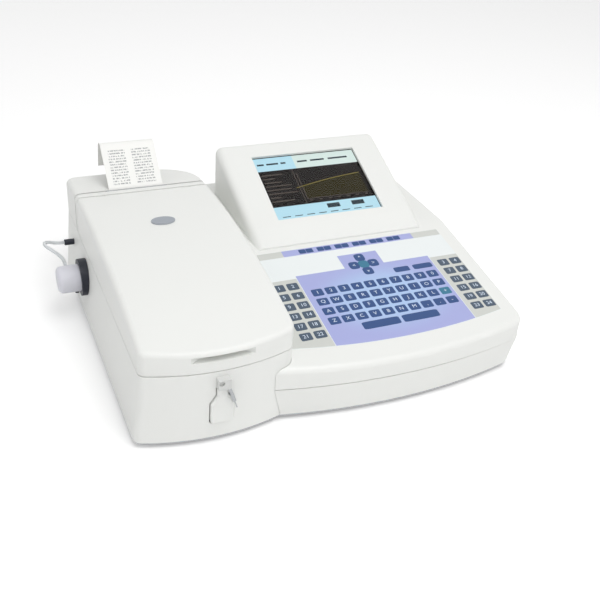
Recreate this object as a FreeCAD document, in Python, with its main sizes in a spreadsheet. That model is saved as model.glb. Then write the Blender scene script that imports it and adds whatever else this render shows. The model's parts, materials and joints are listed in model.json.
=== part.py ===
# Bench-top semi-automatic chemistry analyser: a tower with an arched lid, built-in strip printer,
# sipping probe and tubing pump on the left, and a keyboard deck with a wedge display on the right.
# X runs to the right, Y to the back and Z up; the origin is the middle of the footprint on the bench.
import FreeCAD, Part
import math
import os
import re
import Sketcher

doc = FreeCAD.newDocument("chemistry_analyser")
sheet = doc.addObject("Spreadsheet::Sheet", "Dim")

# Driving sizes in millimetres, degrees or counts
SIZES = {
    # Whole body
    "body_width": 393,
    "body_depth": 342,
    "foot_height": 4,
    "foot_radius": 8,
    "foot_inset": 26,
    "tray_thickness": 2,
    "tray_inset": 1,
    "wall": 2.5,
    "seam_gap": 0.8,
    "fit_gap": 0.3,
    "run_gap": 0.05,
    # Tower
    "tower_width": 144.5,
    "tower_flare": 6,
    "tower_front_set": 7,
    "tower_bow": 13,
    "tower_seam": 76,
    "tower_front_height": 96,
    "tower_rear_height": 110,
    "arch_radius": 800,
    "tower_left_round": 8,
    "tower_right_round": 12,
    "tower_rear_left_round": 12,
    "tower_rear_right_round": 50,
    "tower_edge_round": 5,
    "ceiling_room": 40,
    # Lid over the front of the tower
    "lid_axis_set": 74,
    "lid_nose_radius": 2.5,
    "lid_pin_radius": 1,
    "knuckle_width": 8,
    "knuckle_set": 20,
    "bridge_rib_rise": 1,
    "scoop_width": 62,
    "scoop_depth": 11,
    "scoop_height": 6,
    "scoop_floor": 87,
    "badge_length": 23.5,
    "badge_width": 15,
    "badge_thickness": 1.2,
    "badge_set": 147,
    # Strip printer at the rear of the tower
    "slot_set": 61,
    "slot_gap": 3,
    "cover_barrel_radius": 6,
    "cover_pin_radius": 2,
    "corner_set": 21,
    "corner_rise": 11.5,
    "corner_swing": 3.3,
    "paper_middle_set": 70,
    "paper_width": 57,
    "paper_thickness": 0.2,
    "paper_rise": 33,
    "paper_lean": 34,
    "paper_fold_radius": 9,
    "paper_tail": 24,
    "paper_fall": 11.31,
    "paper_slack": 0.3,
    "paper_start": 1.5,
    "roll_radius": 21,
    "roll_core_radius": 6,
    "roll_set": 45,
    "roll_height": 78,
    "platen_radius": 4.5,
    "platen_shaft_radius": 2,
    "platen_height": 105,
    "platen_set": 56.2,
    "frame_plate": 2,
    "print_motor_radius": 8,
    "print_motor_length": 16,
    "print_motor_bore": 9.6,
    "frame_play": 1,
    "frame_front": 14,
    "frame_depth": 35,
    "pedestal_width": 40,
    "pedestal_depth": 24,
    "pedestal_front": 6,
    "head_front": 8,
    "head_depth": 7.8,
    "tear_margin": 4,
    "tear_thickness": 0.6,
    "tear_drop": 5,
    "tear_height": 5.8,
    # Keyboard deck and base
    "deck_bow": 18,
    "deck_bow_reach": 38,
    "deck_corner_round": 18,
    "deck_rear_round": 12,
    "deck_seam": 38,
    "lip_height": 56.5,
    "deck_tilt": 9.1,
    "rear_deck_height": 86,
    "deck_bend_round": 90,
    "deck_edge_round": 6,
    "base_inset": 4,
    # Keyboard overlay
    "film_thickness": 0.8,
    "film_recess": 0.6,
    "film_left_set": 3,
    "film_right_set": 18,
    "film_bottom": 36,
    "film_bow": 11,
    "film_top": 171,
    "key_rise": 0.4,
    "key_width": 11.8,
    "key_depth": 10,
    "column_pitch": 14.4,
    "row_pitch": 13.8,
    "key_columns": 10,
    "key_rows": 4,
    "key_middle_set": 125.5,
    "key_row_top": 102.7,
    "pad_columns": 2,
    "pad_rows": 6,
    "bar_length": 40,
    "bar_gap": 3,
    "arrow_reach": 11,
    "arrow_row": 133,
    "strip_pairs": 6,
    "strip_pitch": 20.4,
    "strip_spread": 4,
    "strip_row": 166.5,
    "strip_key_width": 7.6,
    "strip_key_depth": 6.4,
    # Display
    "screen_wide": 124,
    "screen_tall": 93,
    "screen_middle_set": 129.5,
    "screen_rear_set": 94,
    "screen_height": 117.4,
    "display_tilt": 21.8,
    "display_width": 194,
    "display_chin": 8,
    "display_rear_set": 25,
    "display_foot_set": 167,
    "display_foot_height": 86.5,
    "display_round": 8,
    "bezel_depth": 9,
    "lens_margin": 4,
    "lens_thickness": 1.5,
    "panel_margin": 8,
    "panel_thickness": 6,
    "board_thickness": 1.6,
    # Sipping probe and its switch paddle
    "probe_middle": 74,
    "probe_width": 11,
    "probe_drop": 5,
    "probe_block_height": 10,
    "probe_block_depth": 18,
    "probe_tube_radius": 1.6,
    "probe_tube_length": 16,
    "probe_slant": 18,
    "probe_stand": 6.9,
    "probe_inset": 1.9,
    "probe_port_radius": 2.5,
    "needle_radius": 0.6,
    "needle_length": 24,
    "paddle_width": 21,
    "paddle_neck": 10,
    "paddle_bottom": 22,
    "paddle_neck_length": 12,
    "shoulder_slope": 4,
    "paddle_gap": 2,
    "paddle_thickness": 5,
    "paddle_stand": 2.8,
    "paddle_round": 3,
    "paddle_edge_round": 2,
    "paddle_pin_radius": 1.25,
    "paddle_axis_in": 5,
    "paddle_axis_drop": 4,
    "ear_width": 4,
    "ear_depth": 9,
    "ear_height": 8,
    "switch_width": 20,
    "switch_depth": 7,
    "switch_height": 11,
    "switch_back": 10,
    "switch_rise": 4,
    "switch_set": 2,
    "switch_stand": 3,
    "plunger_size": 4,
    "plunger_height": 3,
    # Tubing pump on the left wall
    "pump_reach": 25,
    "pump_set": 108,
    "pump_drop": 28,
    "pump_flange_radius": 19,
    "pump_flange_stand": 3,
    "pump_flange_sink": 8,
    "pump_cup_radius": 14,
    "pump_cup_wall": 1.5,
    "pump_cup_round": 5,
    "pump_motor_radius": 16,
    "pump_motor_length": 42,
    "pump_shaft_radius": 2,
    "rotor_radius": 8.5,
    "rotor_plate": 1.5,
    "rotor_gap": 9,
    "roller_radius": 2.5,
    "roller_pin_radius": 1,
    "roller_circle": 6,
    "roller_count": 3,
    "hose_radius": 1.8,
    "hose_bore_radius": 1.3,
    "hose_circle": 10.6,
    "hose_leg": 2,
    "inlet_set": 44,
    "inlet_height": 55,
    "outlet_set": 74,
    "outlet_height": 12,
    "sleeve_radius": 3.2,
    "inlet_stand": 6,
    "outlet_stand": 3,
    "sleeve_sink": 12,
    # Optics under the lid
    "bench_height": 30,
    "bench_thickness": 3,
    "bench_left_set": 10,
    "bench_right_set": 12,
    "bench_front_set": 80,
    "bench_length": 150,
    "bench_post_set": 8,
    "lamp_set": 46,
    "lamp_wide": 32,
    "lamp_deep": 30,
    "lamp_cover": 18,
    "lamp_way_radius": 9,
    "lamp_way_length": 28,
    "lamp_radius": 5,
    "lamp_length": 16,
    "beam_height": 72,
    "beam_set": 231,
    "wheel_radius": 30,
    "wheel_thickness": 4,
    "wheel_hole_radius": 5.5,
    "wheel_circle": 22,
    "filter_count": 8,
    "filter_set": 0.5,
    "wheel_shaft": 12,
    "wheel_play": 2,
    "wheel_motor_radius": 14,
    "wheel_motor_length": 22,
    "wheel_motor_foot": 20,
    "cell_set": 26,
    "cell_size": 20,
    "cell_front_set": 7,
    "cell_cover": 16,
    "cell_way_radius": 3,
    "detector_set": 42,
    "detector_wide": 40,
    "detector_eye_radius": 4.5,
    "detector_eye_length": 8,
    # Rear panel and electronics
    "panel_plate": 1.5,
    "panel_low": 14,
    "panel_high": 78,
    "panel_width": 206,
    "panel_overlap": 4,
    "panel_set": 24,
    "fan_place": 40,
    "port_place": 100,
    "rocker_place": 142,
    "mains_place": 180,
    "vent_pitch": 6,
    "vent_margin": 5,
    "vents_each_side": 3,
    "fan_size": 60,
    "fan_depth": 15,
    "fan_blades": 7,
    "fan_rim": 2,
    "fan_play": 1,
    "fan_seat_radius": 10,
    "spoke_width": 3,
    "spoke_depth": 2.5,
    "hub_radius": 12,
    "hub_depth": 9,
    "blade_set": 5,
    "blade_gap": 2.5,
    "blade_pitch": 35,
    "blade_width": 8,
    "blade_thickness": 1.2,
    "fitting_wall": 2,
    "fitting_rim": 1.5,
    "inlet_wide": 28,
    "inlet_tall": 20.5,
    "mains_depth": 20,
    "mains_pin_wide": 2,
    "mains_pin_tall": 5,
    "mains_pin_pitch": 7,
    "mains_pin_length": 12,
    "rocker_wide": 21,
    "rocker_tall": 14,
    "rocker_depth": 15,
    "rocker_axis_in": 5,
    "rocker_play": 1.5,
    "rocker_back": 2,
    "rocker_high": 6.2,
    "rocker_low": 3,
    "pivot_reach": 1,
    "port_wide": 31,
    "port_tall": 12.5,
    "port_flange": 4,
    "port_depth": 8,
    "port_rim": 0.8,
    "screw_radius": 1.5,
    "screw_head_radius": 3,
    "screw_head": 1.6,
    "post_radius": 4,
    "boss_sink": 0.5,
    "board_height": 16,
    "board_post_set": 6,
    "main_board_set": 30,
    "main_board_front": 60,
    "main_board_wide": 160,
    "main_board_deep": 130,
    "supply_set": 110,
    "supply_rear_set": 120,
    "supply_wide": 80,
    "supply_deep": 90,
    "reservoir_radius": 11,
    "reservoir_height": 32,
}

# Places worked out from the sizes
PLACES = {
    "left_side": "-(body_width - pump_reach)/2",
    "right_side": "(body_width + pump_reach)/2",
    "front_face": "-body_depth/2",
    "rear_face": "body_depth/2",
    "floor_top": "foot_height + tray_thickness",
    "tower_right": "left_side + tower_width",
    "tower_front": "front_face + tower_front_set",
    "tower_corner": "tower_front + tower_bow",
    "tower_lid_left": "left_side + tower_flare",
    "tower_ceiling": "tower_rear_height + ceiling_room",
    "tower_middle": "(left_side + tower_right)/2",
    "arch_run": "rear_face - tower_front",
    "arch_rise": "tower_rear_height - tower_front_height",
    "arch_chord": "sqrt(arch_run^2 + arch_rise^2)",
    "arch_reach": "sqrt(arch_radius^2 - arch_chord^2/4)",
    "arch_y": "(tower_front + rear_face)/2 + arch_reach*arch_rise/arch_chord",
    "arch_z": "(tower_front_height + tower_rear_height)/2 - arch_reach*arch_run/arch_chord",
    "lid_low": "tower_seam + seam_gap",
    "lid_axis_y": "rear_face - lid_axis_set",
    "lid_axis_z": "arch_z + sqrt(arch_radius^2 - (lid_axis_y - arch_y)^2) - lid_nose_radius",
    "slot_y": "rear_face - slot_set",
    "slot_top": "arch_z + sqrt(arch_radius^2 - (slot_y - arch_y)^2)",
    "cover_axis_y": "rear_face - cover_barrel_radius",
    "cover_axis_z": "lid_low + cover_barrel_radius",
    "bow_left": "tower_right - deck_bow_reach",
    "deck_bend": "front_face + (rear_deck_height - lip_height)/tan(deck_tilt)",
    "film_left": "tower_right + film_left_set",
    "film_right": "right_side - film_right_set",
    "key_middle": "right_side - key_middle_set",
    "screen_x": "right_side - screen_middle_set",
    "screen_y": "rear_face - screen_rear_set",
    "display_left": "screen_x - display_width/2",
    "display_rear": "rear_face - display_rear_set",
    "display_foot": "rear_face - display_foot_set",
    "probe_x": "left_side + probe_middle",
    "probe_top": "tower_seam - probe_drop",
    "paddle_top": "probe_top - probe_block_height - paddle_gap",
    "paddle_shoulder": "paddle_top - paddle_neck_length",
    "paper_middle": "left_side + paper_middle_set",
    "pump_y": "rear_face - pump_set",
    "pump_height": "tower_seam - pump_drop",
    "flange_outer": "left_side - pump_flange_stand",
    "cup_outer": "left_side - pump_reach",
    "rotor_x": "(flange_outer + cup_outer)/2 - rotor_gap/2 - rotor_plate",
    "hose_x": "rotor_x + rotor_plate + rotor_gap/2",
    "beam_y": "rear_face - beam_set",
    "panel_y": "rear_face - wall - panel_plate",
    "panel_left": "right_side - panel_set - panel_width",
}

for row, (alias, value) in enumerate(SIZES.items(), start=1):
    sheet.set(f"A{row}", alias)
    sheet.set(f"B{row}", str(value))
    sheet.setAlias(f"B{row}", alias)
doc.recompute()


def formula(text):
    """The text with every size and place written out as cells of the sheet."""
    def written_out(match):
        word = match.group()
        if word in PLACES:
            return "(" + formula(PLACES[word]) + ")"
        if word in SIZES:
            return "Dim." + word
        return word
    return re.sub(r"[a-z_]+", written_out, str(text))


def number(text):
    return float(sheet.evalExpression(formula(text)))


def bind(item, prop, text):
    item.setExpression(prop, formula(text))


def place(item, at):
    for letter, text in zip("xyz", at):
        bind(item, "Placement.Base." + letter, text)


def vector(*texts):
    return FreeCAD.Vector(*[number(text) for text in texts])


# Primitives and booleans whose sizes follow the sheet
TURN = {
    "X": FreeCAD.Rotation(FreeCAD.Vector(0, 1, 0), 90),
    "Y": FreeCAD.Rotation(FreeCAD.Vector(1, 0, 0), -90),
    "Z": FreeCAD.Rotation(),
}


def block(name, low, size):
    item = doc.addObject("Part::Box", name)
    for prop, text in zip(("Length", "Width", "Height"), size):
        bind(item, prop, text)
    place(item, low)
    return item


def rod(name, axis, radius, length, start):
    item = doc.addObject("Part::Cylinder", name)
    item.Placement.Rotation = TURN[axis]
    bind(item, "Radius", radius)
    bind(item, "Height", length)
    place(item, start)
    return item


def fuse(name, items):
    item = doc.addObject("Part::MultiFuse", name)
    item.Shapes = items
    return item


def common(name, items):
    item = doc.addObject("Part::MultiCommon", name)
    item.Shapes = items
    return item


def group(name, items):
    item = doc.addObject("Part::Compound", name)
    item.Links = items
    return item


def cut(name, base, tools):
    item = doc.addObject("Part::Cut", name)
    item.Base = base
    item.Tool = tools[0] if len(tools) == 1 else fuse(name + "_tools", tools)
    return item


def soften(name, base, radius, chosen):
    """Rounds the edges of base that the test picks out."""
    doc.recompute()
    size = number(radius)
    edges = enumerate(base.Shape.Edges, start=1)
    item = doc.addObject("Part::Fillet", name)
    item.Base = base
    item.Edges = [(index, size, size) for index, edge in edges if chosen(edge)]
    return item


# Bodies made from a sketched outline
AXIS = {"XY": (0, 1, 2), "YZ": (1, 2, 0), "XZ": (0, 2, 1)}


def origin_plane(body, plane):
    return [item for item in body.Origin.OriginFeatures if item.Role == plane + "_Plane"][0]


def draw(sketch, corners):
    """A closed outline, each corner held by its two distances from the origin.

    A third value on a corner is the radius of an outward arc that leads on to the next corner.
    """
    spots = [vector(corner[0], corner[1], 0) for corner in corners]
    count = len(corners)
    for index, corner in enumerate(corners):
        here, there = spots[index], spots[(index + 1) % count]
        if len(corner) == 3:
            half = (there - here) / 2
            radius = number(corner[2])
            rise = radius - (radius**2 - half.Length**2) ** 0.5
            outward = FreeCAD.Vector(half.y, -half.x, 0).normalize()
            sketch.addGeometry(Part.Arc(here, here + half + outward * rise, there), False)
        else:
            sketch.addGeometry(Part.LineSegment(here, there), False)
    for index, corner in enumerate(corners):
        sketch.addConstraint(Sketcher.Constraint("Coincident", index, 2, (index + 1) % count, 1))
        for kind, text in zip(("DistanceX", "DistanceY"), corner):
            rule = Sketcher.Constraint(kind, -1, 1, index, 1, number(text))
            bind(sketch, f"Constraints[{sketch.addConstraint(rule)}]", text)
        if len(corner) == 3:
            rule = Sketcher.Constraint("Radius", index, number(corner[2]))
            bind(sketch, f"Constraints[{sketch.addConstraint(rule)}]", corner[2])


def corner_edges(shape, plane, spot):
    """Name of the edge that starts from one corner of the outline and runs along the extrusion."""
    first, second, along = AXIS[plane]
    names = []
    for index, edge in enumerate(shape.Edges, start=1):
        ends = [edge.Vertexes[0].Point, edge.Vertexes[-1].Point]
        touches = any(abs(end[first] - spot.x) + abs(end[second] - spot.y) < 0.01 for end in ends)
        if touches and abs(ends[0][along] - ends[1][along]) > 0.5 * edge.Length:
            names.append(f"Edge{index}")
    return names


def side_face(shape, spot):
    """Name of the face that holds a point."""
    point = Part.Vertex(spot)
    gaps = [face.distToShape(point)[0] for face in shape.Faces]
    return f"Face{gaps.index(min(gaps)) + 1}"


def sketch_on(body, plane, start, corners):
    sketch = body.newObject("Sketcher::SketchObject", body.Name + "_outline")
    sketch.AttachmentSupport = [(origin_plane(body, plane), "")]
    sketch.MapMode = "FlatFace"
    bind(sketch, "AttachmentOffset.Base.z", start)
    draw(sketch, corners)
    return sketch


def lean_in(body, pad, spot, floor, angle):
    """Leans the side wall that holds spot inwards from the floor up."""
    doc.recompute()
    draft = body.newObject("PartDesign::Draft", body.Name + "_lean")
    draft.Base = (pad, [side_face(pad.Shape, spot)])
    draft.NeutralPlane = (pad, [side_face(pad.Shape, floor)])
    bind(draft, "Angle", angle)
    return draft


def prism(name, plane, corners, start, length, rounds=(), taper=None, lean=None):
    """An outline padded along the plane's normal, with some of its corners rounded.

    rounds pairs a corner's place in the outline with its radius. taper opens every side, and lean
    gives a point of one side wall, a point of the floor and the angle that this wall leans in by.
    """
    body = doc.addObject("PartDesign::Body", name)
    pad = body.newObject("PartDesign::Pad", name + "_pad")
    pad.Profile = sketch_on(body, plane, start, corners)
    bind(pad, "Length", length)
    if taper:
        bind(pad, "TaperAngle", taper)
    last = lean_in(body, pad, *lean) if lean else pad
    for index, radius in rounds:
        doc.recompute()
        spot = vector(corners[index][0], corners[index][1], 0)
        edges = corner_edges(last.Shape, plane, spot)
        fillet = body.newObject("PartDesign::Fillet", name + "_round")
        fillet.Base = (last, edges)
        bind(fillet, "Radius", radius)
        last = fillet
    return body


def tilt(item, angle, at):
    """Lays a piece on a sloping face: a turn about X by the angle, then a shift."""
    item.Placement.Rotation = FreeCAD.Rotation(FreeCAD.Vector(1, 0, 0), number(angle))
    bind(item, "Placement.Rotation.Angle", angle)
    place(item, at)
    return item


parts = []


def publish(label, item):
    item.Label = label
    parts.append(item)
    return item


# Tower: lower case, arched lid, bridge and printer cover are cut from one block
def tower_plan(name, left, inset, start, length, lean=None):
    width = f"(tower_right - ({left}) - 2*({inset}))"
    return prism(name, "XY", [
        (f"{left} + {inset}", f"tower_corner + {inset}", f"({width}^2/4 + tower_bow^2)/(2*tower_bow)"),
        (f"tower_right - {inset}", f"tower_corner + {inset}"),
        (f"tower_right - {inset}", f"rear_face - {inset}"),
        (f"{left} + {inset}", f"rear_face - {inset}"),
    ], start, length, [
        (0, f"tower_left_round - {inset}"),
        (1, f"tower_right_round - {inset}"),
        (2, f"tower_rear_right_round - {inset}"),
        (3, f"tower_rear_left_round - {inset}"),
    ], lean=lean)


def tower_lower(name, inset):
    """The tower below its seam, with the left wall leaning in towards the top."""
    lean_angle = "atan(tower_flare/(tower_seam - floor_top))"
    middle = "(tower_corner + rear_face)/2"
    wall_spot = vector(f"left_side + {inset}", middle, "(floor_top + tower_seam)/2")
    floor_spot = vector("tower_middle", middle, "floor_top")
    return tower_plan(name, "left_side", inset, "floor_top", "tower_seam - floor_top",
                      (wall_spot, floor_spot, lean_angle))


def tower_upper(name, inset):
    """The tower above its seam, under the long arch."""
    plan = tower_plan(name + "_plan", "tower_lid_left", inset, "lid_low", "tower_ceiling - lid_low")
    arch = rod(name + "_arch", "X", f"arch_radius - {inset}", "tower_width",
               ("left_side", "arch_y", "arch_z"))
    return common(name, [plan, arch])


def above_skirt(edge):
    """True for an edge of the arch's rim."""
    lowest = min(vertex.Z for vertex in edge.Vertexes)
    return lowest > number("lid_low") + 1


case_outer = tower_lower("case_outer", "0")
case_inner = tower_lower("case_inner", "wall")
arch_outer = soften("arch_outer", tower_upper("arch_sharp", "0"), "tower_edge_round", above_skirt)
arch_inner = tower_upper("arch_inner", "wall")
arch_shell = cut("arch_shell", arch_outer, [arch_inner])


def tower_zone(name, front, rear):
    """A slab right across the tower between two distances from front to back."""
    low = ("left_side - wall", front, "lid_low")
    return block(name, low, ("tower_width + 2*wall", f"({rear}) - ({front})", "tower_ceiling - lid_low"))


def knuckle_starts(first, last):
    """Where two hinge knuckles begin, each knuckle_set in from an end of the hinge."""
    return [f"{first} + knuckle_set", f"{last} - knuckle_set - knuckle_width"]


lid_middle = "(tower_lid_left + tower_right)/2"
lid_axis = ("lid_axis_y", "lid_axis_z")
lid_rear = "(lid_axis_y + lid_nose_radius)"
cover_axis = ("cover_axis_y", "cover_axis_z")
cover_left = "(tower_lid_left + tower_rear_left_round)"
cover_right = "(tower_right - tower_rear_right_round)"


def lid():
    """Arched lid with a round nose at the hinge and a finger scoop under its front brow."""
    skin = common("lid_zone_skin", [arch_shell, tower_zone("lid_zone", "front_face", lid_rear)])
    above_nose = block("lid_above_nose", ("left_side", "lid_axis_y", "lid_axis_z"),
                       ("tower_width + wall", "body_depth", "tower_ceiling"))
    nose_rod = rod("lid_nose_rod", "X", "lid_nose_radius", "tower_width", ("left_side", *lid_axis))
    nose = common("lid_nose", [nose_rod, arch_outer])
    reach = "((scoop_width^2/4 + scoop_depth^2)/(2*scoop_depth))"
    scoop_y = f"tower_front + scoop_depth - {reach}"
    pocket_rod = rod("scoop_pocket_rod", "Z", f"{reach} + wall", "scoop_height + 2*wall",
                     (lid_middle, scoop_y, "scoop_floor - wall"))
    pocket = common("scoop_pocket", [pocket_rod, arch_outer])
    scoop = rod("scoop", "Z", reach, "scoop_height", (lid_middle, scoop_y, "scoop_floor"))
    bore = rod("lid_bore", "X", "lid_pin_radius + run_gap", "tower_width", ("left_side", *lid_axis))
    notches = [rod("lid_notch", "X", "lid_nose_radius + fit_gap", "knuckle_width + 2*fit_gap",
                   (f"{start} - fit_gap", *lid_axis))
               for start in knuckle_starts("tower_lid_left", "tower_right")]
    solid = fuse("lid_solid", [cut("lid_skin", skin, [above_nose]), nose, pocket])
    publish("tower_lid", cut("tower_lid", solid, [scoop, bore, *notches]))
    publish("lid_hinge_pin", rod("lid_hinge_pin", "X", "lid_pin_radius",
                                 "tower_right - tower_lid_left - 2*wall",
                                 ("tower_lid_left + wall", *lid_axis)))


def badge():
    """Bare oval plate that follows the arch of the lid."""
    oval = doc.addObject("Part::Ellipse", "badge_oval")
    bind(oval, "MajorRadius", "badge_length/2")
    bind(oval, "MinorRadius", "badge_width/2")
    place(oval, (lid_middle, "rear_face - badge_set", "tower_seam"))
    column = doc.addObject("Part::Extrusion", "badge_column")
    column.Base = oval
    column.Dir = FreeCAD.Vector(0, 0, 1)
    column.Solid = True
    bind(column, "LengthFwd", "tower_ceiling - tower_seam")
    skins = [rod("badge_arch", "X", radius, "tower_width", ("left_side", "arch_y", "arch_z"))
             for radius in ("arch_radius + badge_thickness", "arch_radius")]
    top = common("badge_top", [column, skins[0]])
    publish("lid_badge", cut("lid_badge", top, [skins[1]]))


def bridge():
    """Fixed bar across the tower between lid and paper slot, with the lid's hinge knuckles."""
    rear = "(slot_y - slot_gap/2)"
    skin = common("bridge_skin", [arch_shell, tower_zone("bridge_zone", f"{lid_rear} + seam_gap", rear)])
    pieces = [skin]
    for start in knuckle_starts("tower_lid_left", "tower_right"):
        pieces.append(rod("bridge_knuckle", "X", "lid_nose_radius - fit_gap", "knuckle_width",
                          (start, *lid_axis)))
        pieces.append(block("bridge_arm", (start, "lid_axis_y", "lid_axis_z - lid_nose_radius + fit_gap"),
                            ("knuckle_width", f"{rear} - lid_axis_y", "lid_nose_radius - fit_gap")))
        pieces.append(block("bridge_rib", (start, f"{lid_rear} + seam_gap", "lid_axis_z - fit_gap"),
                            ("knuckle_width", f"{rear} - {lid_rear} - seam_gap",
                             "bridge_rib_rise + fit_gap")))
    bore = rod("bridge_bore", "X", "lid_pin_radius + run_gap", "tower_width", ("left_side", *lid_axis))
    publish("printer_bridge", cut("printer_bridge", fuse("bridge_solid", pieces), [bore]))


def rear_corner(name, gap, rise):
    """Room over the tower's round rear corner, where the case stands up so that the cover can swing past."""
    low = (f"{cover_right} - {gap}", f"rear_face - corner_set - {gap}", "tower_seam - wall")
    return block(name, low, (f"tower_rear_right_round + wall + {gap}", f"corner_set + wall + {gap}",
                             f"{rise} + wall"))


def cover():
    """Printer cover that swings back about a barrel along the rear wall."""
    skin = common("cover_zone_skin", [arch_shell, tower_zone("cover_zone", "slot_y + slot_gap/2",
                                                             "rear_face + wall")])
    below_barrel = block("cover_below_barrel", ("left_side", "cover_axis_y", "tower_seam"),
                         ("tower_width + wall", "body_depth", "cover_axis_z - tower_seam"))
    barrel_rod = rod("cover_barrel_rod", "X", "cover_barrel_radius", "tower_width",
                     ("left_side", *cover_axis))
    barrel = common("cover_barrel", [barrel_rod, arch_outer])
    bore = rod("cover_bore", "X", "cover_pin_radius + run_gap", "tower_width", ("left_side", *cover_axis))
    notches = [rod("cover_notch", "X", "cover_barrel_radius + fit_gap", "knuckle_width + 2*fit_gap",
                   (f"{start} - fit_gap", *cover_axis))
               for start in cover_knuckles]
    solid = fuse("cover_solid", [cut("cover_skin", skin, [below_barrel]), barrel])
    corner = rear_corner("cover_corner", "seam_gap", "corner_rise + corner_swing")
    publish("printer_cover", cut("printer_cover", solid, [bore, corner, *notches]))
    publish("cover_hinge_pin", rod("cover_hinge_pin", "X", "cover_pin_radius",
                                   f"{cover_right} - {cover_left}", (cover_left, *cover_axis)))


cover_knuckles = [f"{cover_left} + knuckle_width", f"{cover_right} - 2*knuckle_width"]


def cover_posts():
    """Posts on the rear wall of the case that carry the cover's hinge pin."""
    pieces = []
    front = "(cover_axis_y - cover_barrel_radius)"
    for start in cover_knuckles:
        pieces.append(rod("post_knuckle", "X", "cover_barrel_radius - fit_gap", "knuckle_width",
                          (start, *cover_axis)))
        pieces.append(block("post_top", (start, front, "tower_seam - 2*cover_barrel_radius"),
                            ("knuckle_width", "cover_barrel_radius + fit_gap",
                             "cover_axis_z - tower_seam + 2*cover_barrel_radius")))
        pieces.append(block("post_root", (start, front, "tower_seam - 3*cover_barrel_radius"),
                            ("knuckle_width", "2*cover_barrel_radius - wall/2", "2*cover_barrel_radius")))
    bore = rod("post_bore", "X", "cover_pin_radius + run_gap", "tower_width", ("left_side", *cover_axis))
    return cut("cover_posts", fuse("cover_post_solid", pieces), [bore])


paddle_axis = ("tower_front + wall + paddle_axis_in", "paddle_top - paddle_axis_drop")
tower_boss_left = "left_side + wall + post_radius - boss_sink"
base_boss_right = "right_side - base_inset - wall - post_radius + 3*boss_sink"
tower_screws = [
    (tower_boss_left, "tower_corner + 2*foot_inset"),
    (tower_boss_left, "rear_face - 2*foot_inset"),
    ("tower_right - wall - post_radius + boss_sink", "rear_face - 3*foot_inset"),
]
base_screws = [
    (base_boss_right, "front_face + 3*foot_inset"),
    (base_boss_right, "rear_face - 2*foot_inset"),
    ("tower_right + fit_gap + wall + post_radius - boss_sink", "screen_y - 3*foot_inset"),
]


def boss(name, spot):
    """A screw boss that stands on the tray."""
    return rod(name, "Z", "post_radius", "4*post_radius", (*spot, "floor_top"))


def boss_bore(name, spot):
    return rod(name, "Z", "screw_radius + run_gap", "3*post_radius", (*spot, "floor_top"))


def paddle_outline(grow):
    """Bottle shape, seen from the front: narrow neck, sloping shoulder and wide body."""
    return [
        (f"probe_x - paddle_width/2 - {grow}", f"paddle_bottom - {grow}"),
        (f"probe_x + paddle_width/2 + {grow}", f"paddle_bottom - {grow}"),
        (f"probe_x + paddle_width/2 + {grow}", f"paddle_shoulder - shoulder_slope + {grow}"),
        (f"probe_x + paddle_neck/2 + {grow}", f"paddle_shoulder + shoulder_slope + {grow}"),
        (f"probe_x + paddle_neck/2 + {grow}", f"paddle_top + {grow}"),
        (f"probe_x - paddle_neck/2 - {grow}", f"paddle_top + {grow}"),
        (f"probe_x - paddle_neck/2 - {grow}", f"paddle_shoulder + shoulder_slope + {grow}"),
        (f"probe_x - paddle_width/2 - {grow}", f"paddle_shoulder - shoulder_slope + {grow}"),
    ]


paddle_rounds = [(index, "paddle_round") for index in (0, 1, 2, 7)]


def tower_case():
    """Lower case of the tower: walls, hinge posts, paddle ears and screw bosses."""
    ears = [block("paddle_ear", (f"probe_x {side}", "tower_front + wall/2", "paddle_top - ear_height"),
                  ("ear_width", "wall/2 + ear_depth", "ear_height"))
            for side in ("- paddle_neck/2 - seam_gap - ear_width", "+ paddle_neck/2 + seam_gap")]
    bosses = [boss("tower_boss", spot) for spot in tower_screws]
    walls = cut("case_walls", case_outer, [case_inner])
    corner_rings = [tower_plan(name, "left_side", inset, "tower_seam - wall", "corner_rise + wall")
                    for name, inset in (("corner_outside", "0"), ("corner_inside", "wall"))]
    corner = common("case_corner", [cut("corner_ring", corner_rings[0], corner_rings[1:]),
                                    rear_corner("case_corner_room", "0", "corner_rise")])
    holes = [
        rod("pump_hole", "X", "pump_flange_radius + fit_gap", "2*pump_flange_sink + pump_flange_stand",
            ("flange_outer", "pump_y", "pump_height")),
        rod("inlet_hole", "X", "sleeve_radius", "2*sleeve_sink",
            ("left_side - sleeve_sink", "rear_face - inlet_set", "inlet_height")),
        rod("outlet_hole", "X", "sleeve_radius", "2*sleeve_sink",
            ("left_side - sleeve_sink", "rear_face - outlet_set", "outlet_height")),
        block("probe_hole", ("probe_x - probe_width/2", "front_face", "probe_top - probe_block_height"),
              ("probe_width", "tower_front_set + 2*wall", "probe_block_height")),
        prism("paddle_hole", "XZ", paddle_outline("seam_gap"), "-(tower_front + 2*wall)", "4*wall",
              paddle_rounds),
        rod("paddle_ear_bore", "X", "paddle_pin_radius + run_gap", "3*paddle_width",
            ("probe_x - 1.5*paddle_width", *paddle_axis)),
    ]
    holes += [boss_bore("tower_boss_bore", spot) for spot in tower_screws]
    publish("tower_case", cut("tower_case", fuse("case_solid",
                                                 [walls, corner, cover_posts(), *ears, *bosses]), holes))


tower_case()
lid()
badge()
bridge()
cover()


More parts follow.
